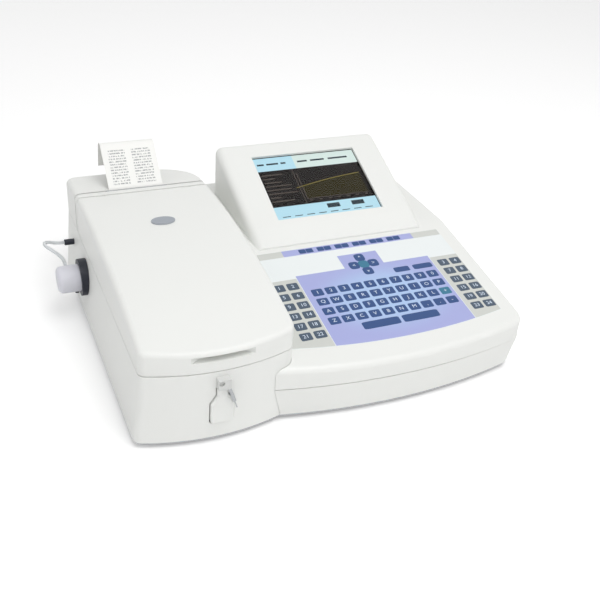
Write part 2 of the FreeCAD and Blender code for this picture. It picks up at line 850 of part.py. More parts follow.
# Base tray, base shell and keyboard deck
def deck_plan(name, inset, rear, start, length, taper=None):
    """Outline of the keyboard side with a bowed front, run on under the tower."""
    front = f"front_face + deck_bow + {inset}"
    chord = f"(right_side - {inset} - bow_left)"
    return prism(name, "XY", [
        ("bow_left", front, f"({chord}^2/4 + deck_bow^2)/(2*deck_bow)"),
        (f"right_side - {inset}", front),
        (f"right_side - {inset}", f"rear_face - {rear}"),
        ("bow_left", f"rear_face - {rear}"),
    ], start, length, [
        (1, f"deck_corner_round - {inset}"),
        (2, f"deck_rear_round - {inset}"),
    ], taper=taper)


def deck_profile(name, drop, low):
    """Side view of the deck: a slope up from the front lip, then a level rear."""
    return prism(name, "YZ", [
        ("front_face - wall", low),
        ("rear_face + wall", low),
        ("rear_face + wall", f"rear_deck_height - {drop}"),
        ("deck_bend", f"rear_deck_height - {drop}"),
        ("front_face - wall", f"lip_height - wall*tan(deck_tilt) - {drop}"),
    ], "bow_left - wall", "right_side - bow_left + 2*wall", [(3, f"deck_bend_round - {drop}")])


def tower_room(name, gap):
    """The tower's plan grown by a gap, to be taken out of the pieces beside it."""
    return tower_plan(name, "left_side", f"(0 - {gap})", "foot_height", "tower_ceiling")


def window(name):
    """Opening for the rear panel."""
    return block(name, ("panel_left + panel_overlap", "rear_face - 2*wall", "panel_low + panel_overlap"),
                 ("panel_width - 2*panel_overlap", "3*wall", "panel_high - panel_low - 2*panel_overlap"))


def deck_rim(edge):
    """True for an edge of the deck's top, but not for the lines where the bend begins and ends."""
    ends = [vertex.Point for vertex in edge.Vertexes]
    lowest = min(end.z for end in ends)
    along_x = abs(ends[0].x - ends[-1].x) > 0.99 * edge.Length
    at_rear = abs(ends[0].y - number("rear_face")) < 0.1
    return lowest > number("deck_seam + 2*wall") and (at_rear or not along_x)


base_rise = "(deck_seam - seam_gap - floor_top)"
base_taper = f"atan(base_inset/{base_rise})"
deck_top = deck_profile("deck_top", "0", "deck_seam")
tower_space = tower_room("tower_space", "fit_gap")
tower_and_wall = tower_room("tower_and_wall", "(fit_gap + wall)")


def base_shell():
    """Lower shell of the keyboard side with a tongue that the deck sits over."""
    outer_plan = deck_plan("base_outer_plan", "base_inset", "0", "floor_top", base_rise, base_taper)
    inner_plan = deck_plan("base_inner_plan", "(base_inset + wall)", "wall", "floor_top", base_rise,
                           base_taper)
    room = block("base_room", ("bow_left", "front_face - wall", "floor_top"),
                 ("body_width", "body_depth + wall", base_rise))
    inner_room = block("base_inner_room", ("bow_left", "front_face - wall", "floor_top"),
                       ("body_width", "body_depth", base_rise))
    outer = cut("base_outer", common("base_outer_plan_cut", [outer_plan, room]), [tower_space])
    inner = cut("base_inner", common("base_inner_plan_cut", [inner_plan, inner_room]), [tower_and_wall])
    tongue_low = "deck_seam - 3*wall"
    tongue_plan = deck_plan("tongue_plan", "wall", "wall", tongue_low, "5*wall")
    tongue_hole = deck_plan("tongue_hole", "2*wall", "2*wall", tongue_low, "5*wall")
    tongue_ring = cut("tongue_ring", cut("tongue_beside_tower", tongue_plan, [tower_and_wall]), [
        cut("tongue_inside", tongue_hole, [tower_room("tongue_tower", "(fit_gap + 2*wall)")])])
    bosses = [boss("base_boss", spot) for spot in base_screws]
    panel_gap = block("tongue_panel_gap", ("panel_left - fit_gap", "rear_face - 2*wall", tongue_low),
                      ("panel_width + 2*fit_gap", "wall", "5*wall"))
    tongue = cut("tongue", tongue_ring, [panel_gap])
    solid = fuse("base_solid", [cut("base_walls", outer, [inner]), tongue, *bosses])
    bores = [boss_bore("base_boss_bore", spot) for spot in base_screws]
    publish("base_shell", cut("base_shell", solid, [window("base_window"), *bores]))


def film_outline():
    chord = "(film_right - film_left)"
    return [
        ("film_left", "film_bottom", f"({chord}^2/4 + film_bow^2)/(2*film_bow)"),
        ("film_right", "film_bottom"),
        ("film_right", "film_top"),
        ("film_left", "film_top"),
    ]


def deck_spot(across, up, out):
    """A point in the deck's own slope: across it, up it from the front lip, and out of its face."""
    return (across, f"front_face + ({up})*cos(deck_tilt) - ({out})*sin(deck_tilt)",
            f"lip_height + ({up})*sin(deck_tilt) + ({out})*cos(deck_tilt)")


def on_deck(item, start=("0", "0", "0")):
    return tilt(item, "deck_tilt", deck_spot(*start))


def keyboard_deck():
    """Sloping top shell with a shallow bed for the keyboard film."""
    outer_plan = deck_plan("deck_outer_plan", "0", "0", "deck_seam", "rear_deck_height")
    inner_plan = deck_plan("deck_inner_plan", "wall", "wall", "deck_seam", "rear_deck_height")
    rounded = soften("deck_rounded", common("deck_sharp", [deck_top, outer_plan]), "deck_edge_round",
                     deck_rim)
    outer = cut("deck_outer", rounded, [tower_space])
    inner = cut("deck_inner", common("deck_inner_block", [deck_profile("deck_under", "wall", "deck_seam"),
                                                          inner_plan]),
                [tower_and_wall])
    bed = on_deck(prism("film_bed", "XY", film_outline(), "-film_recess", "3*film_recess"))
    publish("keyboard_deck", cut("keyboard_deck", cut("deck_shell", outer, [inner]),
                                 [bed, window("deck_window")]))


def key(across, up, width="key_width", depth="key_depth"):
    item = block("key", ("0", "0", "0"), (width, depth, "film_recess + key_rise"))
    return on_deck(item, (f"{across} - ({width})/2", f"{up} - ({depth})/2", "-film_recess/2"))


def keyboard_overlay():
    """Membrane keyboard: one film whose keys are embossed in it."""
    film = on_deck(prism("film", "XY", film_outline(), "-film_recess", "film_thickness"))
    keys = []
    for row in range(SIZES["key_rows"]):
        for column in range(SIZES["key_columns"]):
            across = f"key_middle + ({column} - (key_columns - 1)/2)*column_pitch"
            keys.append(key(across, f"key_row_top - {row}*row_pitch"))
    for row in range(SIZES["pad_rows"]):
        for column in range(SIZES["pad_columns"]):
            for first in ("film_left + 1.4*column_pitch", "film_right - 1.5*column_pitch"):
                keys.append(key(f"{first} + {column}*column_pitch",
                                f"key_row_top + row_pitch - {row}*row_pitch"))
    bar_row = "key_row_top - key_rows*row_pitch"
    for side in ("-", "+"):
        keys.append(key(f"key_middle {side} (bar_length + bar_gap)/2", bar_row, "bar_length"))
    for across, up in (("0", "0"), ("-arrow_reach", "0"), ("arrow_reach", "0"), ("0", "-arrow_reach"),
                       ("0", "arrow_reach")):
        keys.append(key(f"key_middle + {across}", f"arrow_row + {up}", "0.85*arrow_reach",
                        "0.85*arrow_reach"))
    for turn, width in ((2.5, "1.5*key_width"), (4.2, "1.9*key_width")):
        keys.append(key(f"key_middle + {turn}*column_pitch", "key_row_top + row_pitch", width))
    for pair in range(SIZES["strip_pairs"]):
        for side in ("-", "+"):
            across = f"key_middle + ({pair} - (strip_pairs - 1)/2)*strip_pitch {side} strip_spread"
            keys.append(key(across, "strip_row", "strip_key_width", "strip_key_depth"))
    publish("keyboard_overlay", fuse("keyboard_overlay", [film, *keys]))


def tray():
    """Flat floor that carries the case, the shell and the feet."""
    plans = [tower_plan("tray_tower", "left_side", "tray_inset", "foot_height", "tray_thickness"),
             deck_plan("tray_deck", "(base_inset + tray_inset)", "tray_inset", "foot_height",
                       "tray_thickness")]
    holes = [rod("tray_hole", "Z", "screw_radius + run_gap", "2*tray_thickness",
                 (*spot, "foot_height - tray_thickness/2"))
             for spot in tower_screws + base_screws]
    publish("base_tray", cut("base_tray", fuse("tray_plate", plans), holes))
    screws = []
    for spot in tower_screws + base_screws:
        head = rod("screw_head", "Z", "screw_head_radius", "screw_head", (*spot, "foot_height - screw_head"))
        shank = rod("screw_shank", "Z", "screw_radius", "tray_thickness + 2.5*post_radius",
                    (*spot, "foot_height"))
        screws.append(fuse("screw", [head, shank]))
    publish("case_screws", group("case_screws", screws))
    feet = [rod("foot", "Z", "foot_radius", "foot_height", (*spot, "0")) for spot in (
        ("left_side + foot_inset", "tower_corner + foot_inset"),
        ("left_side + foot_inset", "rear_face - foot_inset"),
        ("right_side - base_inset - foot_inset", "front_face + 2*foot_inset"),
        ("right_side - base_inset - foot_inset", "rear_face - foot_inset"),
        ("tower_right", "front_face + 2*foot_inset"),
    )]
    publish("rubber_feet", group("rubber_feet", feet))


tray()
base_shell()
keyboard_deck()
keyboard_overlay()


# Wedge display on the rear of the deck
def face_spot(across, up, out):
    """A point on the display: from the middle of the screen across, up its slope and out of its face."""
    return (f"screen_x + ({across})", f"screen_y + ({up})*cos(display_tilt) - ({out})*sin(display_tilt)",
            f"screen_height + ({up})*sin(display_tilt) + ({out})*cos(display_tilt)")


def face_block(name, wide, tall, low, thick):
    """A plate parallel to the screen and centred on it."""
    item = block(name, ("0", "0", "0"), (wide, tall, thick))
    return tilt(item, "display_tilt", face_spot(f"-({wide})/2", f"-({tall})/2", low))


def display_block(name, inset):
    """The wedge: chin, screen face, top and upright rear."""
    crease = face_spot("0", "-(screen_tall/2 + display_chin)", f"-{inset}")
    top = f"screen_height + (display_rear - {inset} - screen_y)*tan(display_tilt) - {inset}/cos(display_tilt)"
    return prism(name, "YZ", [
        (f"display_foot + {inset}", "deck_seam + 3*wall"),
        (f"display_rear - {inset}", "deck_seam + 3*wall"),
        (f"display_rear - {inset}", top),
        (crease[1], crease[2]),
        (f"display_foot + {inset}", f"display_foot_height - {inset}"),
    ], f"display_left + {inset}", f"display_width - 2*{inset}")


def display_rim(edge):
    """True for the outer edges of the wedge, but not for its floor or the crease across its chin."""
    ends = [vertex.Point for vertex in edge.Vertexes]
    along_x = abs(ends[0].x - ends[-1].x) > 0.99 * edge.Length
    if along_x:
        return ends[0].z > number("screen_height")
    return max(end.z for end in ends) > number("display_foot_height") + 1


def display():
    rounded = soften("display_rounded", display_block("display_sharp", "0"), "display_round", display_rim)
    outer = cut("display_outer", rounded, [deck_top])
    hollow = display_block("display_hollow", "wall")
    cavity = soften("display_cavity", hollow, "display_round - wall", display_rim)
    front = face_block("bezel_zone", "2*display_width", "3*screen_tall", "-bezel_depth", "2*bezel_depth")
    opening = face_block("screen_opening", "screen_wide", "screen_tall", "-bezel_depth", "2*bezel_depth")
    publish("display_bezel", cut("display_bezel", common("bezel_block", [outer, front]), [cavity, opening]))
    publish("display_housing", cut("display_housing", cut("housing_block", outer, [front]), [cavity]))
    publish("display_lens", face_block("display_lens", "screen_wide + 2*lens_margin",
                                       "screen_tall + 2*lens_margin",
                                       "-wall - lens_thickness", "lens_thickness"))
    publish("lcd_panel", face_block("lcd_panel", "screen_wide + 2*panel_margin",
                                    "screen_tall + panel_margin",
                                    "-wall - lens_thickness - panel_thickness", "panel_thickness"))


display()


# Strip printer
paper_x = "paper_middle - paper_width/2"
platen_axis = ("rear_face - platen_set", "platen_height")
roll_axis = ("rear_face - roll_set", "roll_height")
plate_left = f"({paper_x} - frame_play - frame_plate)"
plate_right = f"({paper_x} + paper_width + frame_play)"
between_plates = f"{plate_right} - {plate_left} - frame_plate"
across_plates = f"{plate_right} - {plate_left} + frame_plate"


def printer():
    """Frame with its platen, head, motor and paper roll, and the bar that the paper is torn on."""
    frame_low = "roll_height - roll_radius - 2*frame_plate"
    frame = [block("frame_side", (start, "slot_y - frame_front", frame_low),
                   ("frame_plate", "frame_depth", f"platen_height + platen_radius - ({frame_low})"))
             for start in (plate_left, plate_right)]
    frame.append(block("frame_floor", (plate_left, "slot_y - frame_front", frame_low),
                       (across_plates, "frame_depth", "frame_plate")))
    frame.append(block("frame_pedestal",
                       ("paper_middle - pedestal_width/2", "slot_y - pedestal_front", "floor_top"),
                       ("pedestal_width", "pedestal_depth", f"{frame_low} - floor_top")))
    bores = [rod("platen_bore", "X", "platen_shaft_radius + run_gap", across_plates,
                 (plate_left, *platen_axis)),
             rod("spindle_bore", "X", "roll_core_radius/2", across_plates, (plate_left, *roll_axis))]
    publish("printer_frame", cut("printer_frame", fuse("frame_solid", frame), bores))
    head_corner = (f"{plate_left} + frame_plate", "slot_y - head_front", "platen_height - platen_radius")
    publish("print_head", block("print_head", head_corner,
                                (between_plates, "head_depth", "2*platen_radius")))
    drum = rod("platen_drum", "X", "platen_radius", "paper_width", (paper_x, *platen_axis))
    drum_bore = rod("platen_drum_bore", "X", "platen_shaft_radius", "paper_width", (paper_x, *platen_axis))
    publish("platen_roller", cut("platen_roller", drum, [drum_bore]))
    publish("platen_shaft", rod("platen_shaft", "X", "platen_shaft_radius",
                                f"{across_plates} + print_motor_length/2", (plate_left, *platen_axis)))
    motor_end = (f"{plate_right} + frame_plate", *platen_axis)
    motor = rod("print_motor_can", "X", "print_motor_radius", "print_motor_length", motor_end)
    motor_bore = rod("print_motor_bore", "X", "platen_shaft_radius + run_gap", "print_motor_bore", motor_end)
    publish("printer_motor", cut("printer_motor", motor, [motor_bore]))
    reel = rod("reel", "X", "roll_radius", "paper_width", (paper_x, *roll_axis))
    reel_bore = rod("reel_bore", "X", "roll_core_radius", "paper_width", (paper_x, *roll_axis))
    publish("paper_roll", cut("paper_roll", reel, [reel_bore]))
    core = rod("spindle_core", "X", "roll_core_radius - run_gap", between_plates,
               (f"{plate_left} + frame_plate", *roll_axis))
    stubs = rod("spindle_stubs", "X", "roll_core_radius/2", across_plates, (plate_left, *roll_axis))
    publish("roll_spindle", fuse("roll_spindle", [core, stubs]))
    publish("tear_bar", block("tear_bar",
                              (f"{paper_x} - tear_margin", "slot_y - slot_gap/2", "slot_top - tear_drop"),
                              ("paper_width + 2*tear_margin", "tear_thickness", "tear_height")))


def paper_strip():
    """Printed strip: up through the slot, leaning back, folded over and hanging down behind."""
    run = number("paper_thickness") / 2
    foot = vector("0", "slot_y + paper_slack", "platen_height + platen_radius + paper_start")
    rim = vector("0", "slot_y + paper_slack", "slot_top")
    climb = vector("0", "paper_lean", "paper_rise")
    top = rim + climb
    climb.normalize()
    back = FreeCAD.Vector(0, climb.z, -climb.y)
    radius = number("paper_fold_radius")
    middle = top + back * radius
    fall = vector("0", "sin(paper_fall)", "0 - cos(paper_fall)")
    outward = FreeCAD.Vector(0, -fall.z, fall.y)
    halfway = (outward - back).normalize()

    def side(offset):
        """The edges of one face of the strip, from the slot to its end."""
        lean = (FreeCAD.Vector(0, 1, 0) + back).normalize()
        spots = [foot - FreeCAD.Vector(0, offset, 0), rim - lean * offset, middle - back * (radius + offset),
                 middle + outward * (radius + offset)]
        spots.append(spots[3] + fall * number("paper_tail"))
        arc = Part.Arc(spots[2], middle + halfway * (radius + offset), spots[3]).toShape()
        return spots, [Part.makeLine(spots[0], spots[1]), Part.makeLine(spots[1], spots[2]), arc,
                       Part.makeLine(spots[3], spots[4])]

    outer_spots, outer = side(run)
    inner_spots, inner = side(-run)
    ends = [Part.makeLine(outer_spots[0], inner_spots[0]), Part.makeLine(outer_spots[4], inner_spots[4])]
    outline = Part.Wire(Part.__sortEdges__(outer + inner + ends))
    strip = doc.addObject("Part::Feature", "paper_strip")
    strip.Shape = Part.Face(outline).extrude(vector("paper_width", "0", "0"))
    strip.Placement.Base = vector(paper_x, "0", "0")
    publish("paper_strip", strip)


printer()
paper_strip()


# Sipping probe and switch paddle
def probe():
    """Block on the front wall with a thin tube that slants down to the right."""
    front = "tower_front - probe_stand"
    solid = block("probe_solid", ("probe_x - probe_width/2", front, "probe_top - probe_block_height"),
                  ("probe_width", "probe_block_depth", "probe_block_height"))
    root = ("probe_x + probe_width/4", f"{front} + probe_inset", "probe_top - probe_block_height/2")
    down = FreeCAD.Vector(math.tan(math.radians(number("probe_slant"))), 0, -1)

    def slanting(name, radius, length):
        item = rod(name, "Z", radius, length, root)
        item.Placement.Rotation = FreeCAD.Rotation(FreeCAD.Vector(0, 0, 1), down)
        return item

    port = rod("probe_port", "Y", "probe_port_radius", "probe_inset",
               ("probe_x - probe_width/4", front, "probe_top - probe_block_height/3"))
    reach = "probe_block_height/2 + probe_tube_length"
    tube_way = slanting("probe_bore", "probe_tube_radius", reach)
    publish("probe_block", cut("probe_block", solid, [port, tube_way]))
    sleeve = slanting("probe_sleeve_rod", "probe_tube_radius", reach)
    publish("probe_sleeve", cut("probe_sleeve", sleeve, [slanting("sleeve_bore", "needle_radius", reach)]))
    publish("probe_needle", slanting("probe_needle", "needle_radius",
                                     "probe_block_height/2 + needle_length"))


def paddle():
    """Bottle-shaped paddle on its pin, and the switch that it pushes."""
    thick = "(paddle_thickness + wall)"
    face = prism("paddle_face", "XZ", paddle_outline("0"), f"-(tower_front - paddle_stand + {thick})", thick,
                 paddle_rounds)
    lug = block("paddle_lug", ("probe_x - paddle_neck/2", "tower_front", "paddle_top - ear_height"),
                ("paddle_neck", "wall + ear_height", "ear_height"))
    bore = rod("paddle_bore", "X", "paddle_pin_radius + run_gap", "paddle_width",
               ("probe_x - paddle_width/2", *paddle_axis))
    front = number("tower_front - paddle_stand + fit_gap")
    rounded = soften("paddle_front", face, "paddle_edge_round", lambda edge: edge.BoundBox.YMax < front)
    publish("switch_paddle", cut("switch_paddle", fuse("paddle_solid", [rounded, lug]), [bore]))
    publish("paddle_pin", rod("paddle_pin", "X", "paddle_pin_radius",
                              "paddle_neck + 2*seam_gap + 2*ear_width",
                              ("probe_x - paddle_neck/2 - seam_gap - ear_width", *paddle_axis)))
    behind_wall = "tower_front + wall"
    switch_low = "paddle_bottom + switch_rise"
    body = block("switch_body", ("probe_x - switch_width/2", f"{behind_wall} + switch_back", switch_low),
                 ("switch_width", "switch_depth", "switch_height"))
    plunger = block("switch_plunger",
                    ("probe_x - plunger_size/2", f"{behind_wall} + switch_back - plunger_height",
                     f"{switch_low} + plunger_size"),
                    ("plunger_size", "plunger_size", "plunger_height"))
    stand = block("switch_stand",
                  ("probe_x - switch_width/2", f"{behind_wall} + switch_back + switch_set", "floor_top"),
                  ("switch_width", "switch_stand", f"{switch_low} + 1 - floor_top"))
    publish("microswitch", fuse("microswitch", [body, plunger, stand]))


probe()
paddle()


# Tubing pump and hoses
pump_axis = ("pump_y", "pump_height")
flange_inner = "(left_side + pump_flange_sink)"
# Points that each hose follows as the photograph shows it, from the pump's leg to its sleeve
INLET_ROUTE = [(-198, 79, 58.6), (-198, 87.5, 58.6), (-204, 97.5, 61.5), (-211.5, 107, 63.5),
               (-212.5, 118, 62.5), (-206, 125.8, 58.5), (-197.3, 127, 55), (-190, 127, 55)]
OUTLET_ROUTE = [(-198, 79, 37.4), (-198, 87, 37.4), (-198.6, 95.5, 30), (-198.2, 98.8, 20.8),
                (-195.6, 98, 14.9), (-191.3, 97, 12), (-187, 97, 12)]


def pump():
    """Flange, motor, cup and rotor; the rotor's rollers press the hose against the cup."""
    flange = rod("flange_disc", "X", "pump_flange_radius", "pump_flange_sink + pump_flange_stand",
                 ("flange_outer", *pump_axis))
    shaft_way = "pump_shaft_radius + run_gap"
    shaft_bore = rod("flange_bore", "X", shaft_way, "pump_reach", ("flange_outer", *pump_axis))
    publish("pump_flange", cut("pump_flange", flange, [shaft_bore]))
    can = rod("pump_motor_can", "X", "pump_motor_radius", "pump_motor_length", (flange_inner, *pump_axis))
    can_bore = rod("pump_motor_bore", "X", shaft_way, "pump_flange_sink", (flange_inner, *pump_axis))
    publish("pump_motor", cut("pump_motor", can, [can_bore]))
    depth = "flange_outer - cup_outer"
    solid = rod("cup_solid", "X", "pump_cup_radius", depth, ("cup_outer", *pump_axis))
    hollow = rod("cup_hollow", "X", "pump_cup_radius - pump_cup_wall", depth,
                 ("cup_outer + pump_cup_wall", *pump_axis))
    legs = [rod("cup_leg", "Y", "hose_radius", "2*pump_cup_radius",
                ("hose_x", "pump_y", f"pump_height {side} hose_circle"))
            for side in ("+", "-")]
    outside, inside = [
        soften(name, item, radius, lambda edge, end=number(end): edge.BoundBox.XMax < end)
        for name, item, radius, end in (
            ("cup_outside", solid, "pump_cup_round", "cup_outer + fit_gap"),
            ("cup_inside", hollow, "pump_cup_round - pump_cup_wall", "cup_outer + pump_cup_wall + fit_gap"))]
    publish("pump_cup", cut("pump_cup", outside, [inside, *legs]))
    far_plate = "rotor_x + rotor_plate + rotor_gap"
    rotor = [rod("rotor_disc", "X", "rotor_radius", "rotor_plate", (start, *pump_axis))
             for start in ("rotor_x", far_plate)]
    rotor.append(rod("rotor_hub", "X", "roller_circle - roller_radius - seam_gap", "rotor_gap + rotor_plate",
                     ("rotor_x", *pump_axis)))
    rotor.append(rod("rotor_shaft", "X", "pump_shaft_radius",
                     f"{flange_inner} - rotor_x + pump_flange_sink - seam_gap", ("rotor_x", *pump_axis)))
    for index in range(SIZES["roller_count"]):
        angle = f"{index}*360/roller_count"
        at = (f"pump_y + roller_circle*cos({angle})", f"pump_height + roller_circle*sin({angle})")
        rotor.append(rod("roller_pin", "X", "roller_pin_radius", "rotor_gap + rotor_plate",
                         ("rotor_x", *at)))
        start = "rotor_x + rotor_plate + fit_gap"
        wheel = rod("roller_wheel", "X", "roller_radius", "rotor_gap - 2*fit_gap", (start, *at))
        eye = rod("roller_eye", "X", "roller_pin_radius + run_gap", "rotor_gap", (start, *at))
        publish("pump_roller_" + "abc"[index], cut("pump_roller", wheel, [eye]))
    publish("pump_rotor", fuse("pump_rotor", rotor))


def swept(label, path, radius):
    """A tube of one radius along a path of edges that meet tangentially."""
    wire = Part.Wire(path)
    first = path[0]
    ring = Part.makeCircle(radius, first.valueAt(first.FirstParameter),
                           first.tangentAt(first.FirstParameter))
    tube = doc.addObject("Part::Feature", label)
    tube.Shape = wire.makePipeShell([Part.Wire(ring)], True, False)
    expected = math.pi * radius**2 * wire.Length
    print(label, "length", round(wire.Length, 1), "volume ratio", round(tube.Shape.Volume / expected, 4))
    publish(label, tube)


def hose(label, route):
    """A limp hose: straight runs between the points of its route, joined by tangent arcs."""
    points = [FreeCAD.Vector(*point) for point in route]
    path = []
    here = points[0]
    for before, corner, after in zip(points, points[1:], points[2:]):
        into, out = corner - before, after - corner
        shorter = min(into.Length, out.Length)
        into.normalize()
        out.normalize()
        half_turn = into.getAngle(out) / 2
        trim = 0.45 * shorter
        radius = trim / math.tan(half_turn)
        start, end = corner - into * trim, corner + out * trim
        inward = (out - into).normalize()
        middle = corner + inward * (radius / math.cos(half_turn) - radius)
        path.append(Part.LineSegment(here, start).toShape())
        path.append(Part.Arc(start, middle, end).toShape())
        here = end
    path.append(Part.LineSegment(here, points[-1]).toShape())
    swept(label, path, number("hose_radius"))


def pump_hose():
    """The hose bent round the rotor inside the cup, with both legs out at the rear."""
    rear = "pump_y + pump_cup_radius + hose_leg"
    ends = [vector("hose_x", rear, f"pump_height {side} hose_circle") for side in ("+", "-")]
    turns = [vector("hose_x", "pump_y", f"pump_height {side} hose_circle") for side in ("+", "-")]
    front = vector("hose_x", "pump_y - hose_circle", "pump_height")
    path = [Part.LineSegment(ends[0], turns[0]).toShape(), Part.Arc(turns[0], front, turns[1]).toShape(),
            Part.LineSegment(turns[1], ends[1]).toShape()]
    swept("pump_hose", path, number("hose_radius"))


def hose_sleeves():
    """Stiff sleeves where the two hoses go through the wall of the case."""
    sleeves = []
    for stand, set_back, height in (("inlet_stand", "inlet_set", "inlet_height"),
                                    ("outlet_stand", "outlet_set", "outlet_height")):
        at = (f"left_side - {stand}", f"rear_face - {set_back}", height)
        length = f"{stand} + sleeve_sink"
        outside = rod("sleeve_outside", "X", "sleeve_radius", length, at)
        sleeves.append(cut("sleeve", outside, [rod("sleeve_way", "X", "hose_bore_radius", length, at)]))
    publish("hose_sleeves", group("hose_sleeves", sleeves))


pump()
pump_hose()
hose("inlet_hose", INLET_ROUTE)
hose("outlet_hose", OUTLET_ROUTE)
hose_sleeves()


# Optics under the lid, in the order that the light passes them from right to left
bench_top = "(bench_height + bench_thickness)"
bench_left = "(tower_lid_left + bench_left_set)"
bench_right = "(tower_right - bench_right_set)"
lamp_left = "(tower_right - lamp_set)"
wheel_x = f"({lamp_left} - wheel_shaft)"
wheel_axis = ("beam_y - wheel_circle", "beam_height")
cell_left = f"({wheel_x} - cell_set)"
detector_left = f"({wheel_x} - detector_set)"


def upright(name, left, front, wide, deep, rise):
    """A block that stands on the optics bench and rises above the beam."""
    return block(name, (left, front, bench_top), (wide, deep, f"beam_height + {rise} - {bench_top}"))


def optics():
    """Bench, lamp, filter wheel with its motor, flow cell and detector, all set out along the beam."""
    bench_front = "(beam_y - bench_front_set)"
    plate = block("bench_plate", (bench_left, bench_front, "bench_height"),
                  (f"{bench_right} - {bench_left}", "bench_length", "bench_thickness"))
    posts = [rod("bench_post", "Z", "post_radius", "bench_height - floor_top", (across, along, "floor_top"))
             for across in (f"{bench_left} + bench_post_set", f"{bench_right} - bench_post_set")
             for along in (f"{bench_front} + bench_post_set",
                           f"{bench_front} + bench_length - bench_post_set")]
    publish("optics_bench", fuse("optics_bench", [plate, *posts]))
    shade = upright("lamp_shade", lamp_left, "beam_y - lamp_deep/2", "lamp_wide", "lamp_deep", "lamp_cover")
    beam = rod("lamp_beam", "X", "lamp_way_radius", "lamp_way_length", (lamp_left, "beam_y", "beam_height"))
    publish("lamp_housing", cut("lamp_housing", shade, [beam]))
    publish("lamp", rod("lamp", "X", "lamp_radius", "lamp_length",
                        (f"{lamp_left} + lamp_way_length - lamp_length", "beam_y", "beam_height")))
    disc = rod("wheel_disc", "X", "wheel_radius", "wheel_thickness", (wheel_x, *wheel_axis))
    shaft = rod("wheel_shaft", "X", "pump_shaft_radius", "wheel_thickness + wheel_shaft",
                (f"{wheel_x} - wheel_shaft", *wheel_axis))
    holes = []
    filters = []
    for index in range(SIZES["filter_count"]):
        angle = f"{index}*360/filter_count"
        at = (f"beam_y - wheel_circle + wheel_circle*cos({angle})",
              f"beam_height + wheel_circle*sin({angle})")
        holes.append(rod("wheel_hole", "X", "wheel_hole_radius", "wheel_thickness", (wheel_x, *at)))
        filters.append(rod("filter", "X", "wheel_hole_radius", "wheel_thickness - 2*filter_set",
                           (f"{wheel_x} + filter_set", *at)))
    publish("filter_wheel", cut("filter_wheel", fuse("wheel_solid", [disc, shaft]), holes))
    publish("filter_glasses", group("filter_glasses", filters))
    can = rod("wheel_motor_can", "X", "wheel_motor_radius", "wheel_motor_length", (cell_left, *wheel_axis))
    foot = upright("wheel_motor_foot", cell_left, "beam_y - wheel_circle - wheel_motor_foot/2",
                   "wheel_motor_length", "wheel_motor_foot", "0")
    bore_length = "(wheel_shaft - cell_set + wheel_motor_length)"
    motor_bore = rod("wheel_motor_bore", "X", "pump_shaft_radius + run_gap", f"{bore_length} + wheel_play",
                     (f"{wheel_x} - wheel_shaft - wheel_play", *wheel_axis))
    publish("wheel_motor", cut("wheel_motor", fuse("wheel_motor_solid", [can, foot]), [motor_bore]))
    cell = upright("cell_block", cell_left, "beam_y - cell_front_set", "cell_size", "cell_size",
                   "cell_cover")
    light_way = rod("cell_light_way", "X", "cell_way_radius", "cell_size",
                    (cell_left, "beam_y", "beam_height"))
    publish("flow_cell", cut("flow_cell", cell, [light_way]))
    board = upright("detector_plate", detector_left, "beam_y - detector_wide/2", "board_thickness",
                    "detector_wide", "cell_cover")
    eye = rod("detector_eye", "X", "detector_eye_radius", "detector_eye_length",
              (detector_left, "beam_y", "beam_height"))
    publish("detector_board", fuse("detector_board", [board, eye]))


optics()


# Rear panel and electronics
panel_middle = "(panel_low + panel_high)/2"
panel_out = "(panel_y + panel_plate)"
fan_x = "(panel_left + fan_place)"
port_x = "(panel_left + port_place)"
rocker_x = "(panel_left + rocker_place)"
mains_x = "(panel_left + mains_place)"
rocker_y = "(panel_y - rocker_axis_in)"
rocker_box = ("rocker_wide + 2*fitting_wall", "rocker_tall + fitting_wall")
port_box = ("port_wide - 2*port_flange", "port_tall - port_flange/2")


def on_panel(name, middle, wide, tall, start, depth):
    """A block centred on the height of the rear panel."""
    corner = (f"{middle} - ({wide})/2", start, f"{panel_middle} - ({tall})/2")
    return block(name, corner, (wide, depth, tall))


def rear_panel():
    """Sheet with a hole for each fitting and a round of vent slots in front of the fan."""
    plate = block("panel_sheet", ("panel_left", "panel_y", "panel_low"),
                  ("panel_width", "panel_plate", "panel_high - panel_low"))
    holes = [
        on_panel("port_hole", port_x, *port_box, "panel_y", "panel_plate"),
        on_panel("rocker_hole", rocker_x, *rocker_box, "panel_y", "panel_plate"),
        on_panel("mains_hole", mains_x, "inlet_wide", "inlet_tall", "panel_y", "panel_plate"),
    ]
    for step in range(-SIZES["vents_each_side"], SIZES["vents_each_side"] + 1):
        offset = f"{step}*vent_pitch"
        tall = f"2*sqrt((fan_size/2 - vent_margin)^2 - ({offset})^2)"
        holes.append(on_panel("vent", f"{fan_x} + {offset}", "vent_pitch/2", tall, "panel_y", "panel_plate"))
    publish("rear_panel", cut("rear_panel", plate, holes))


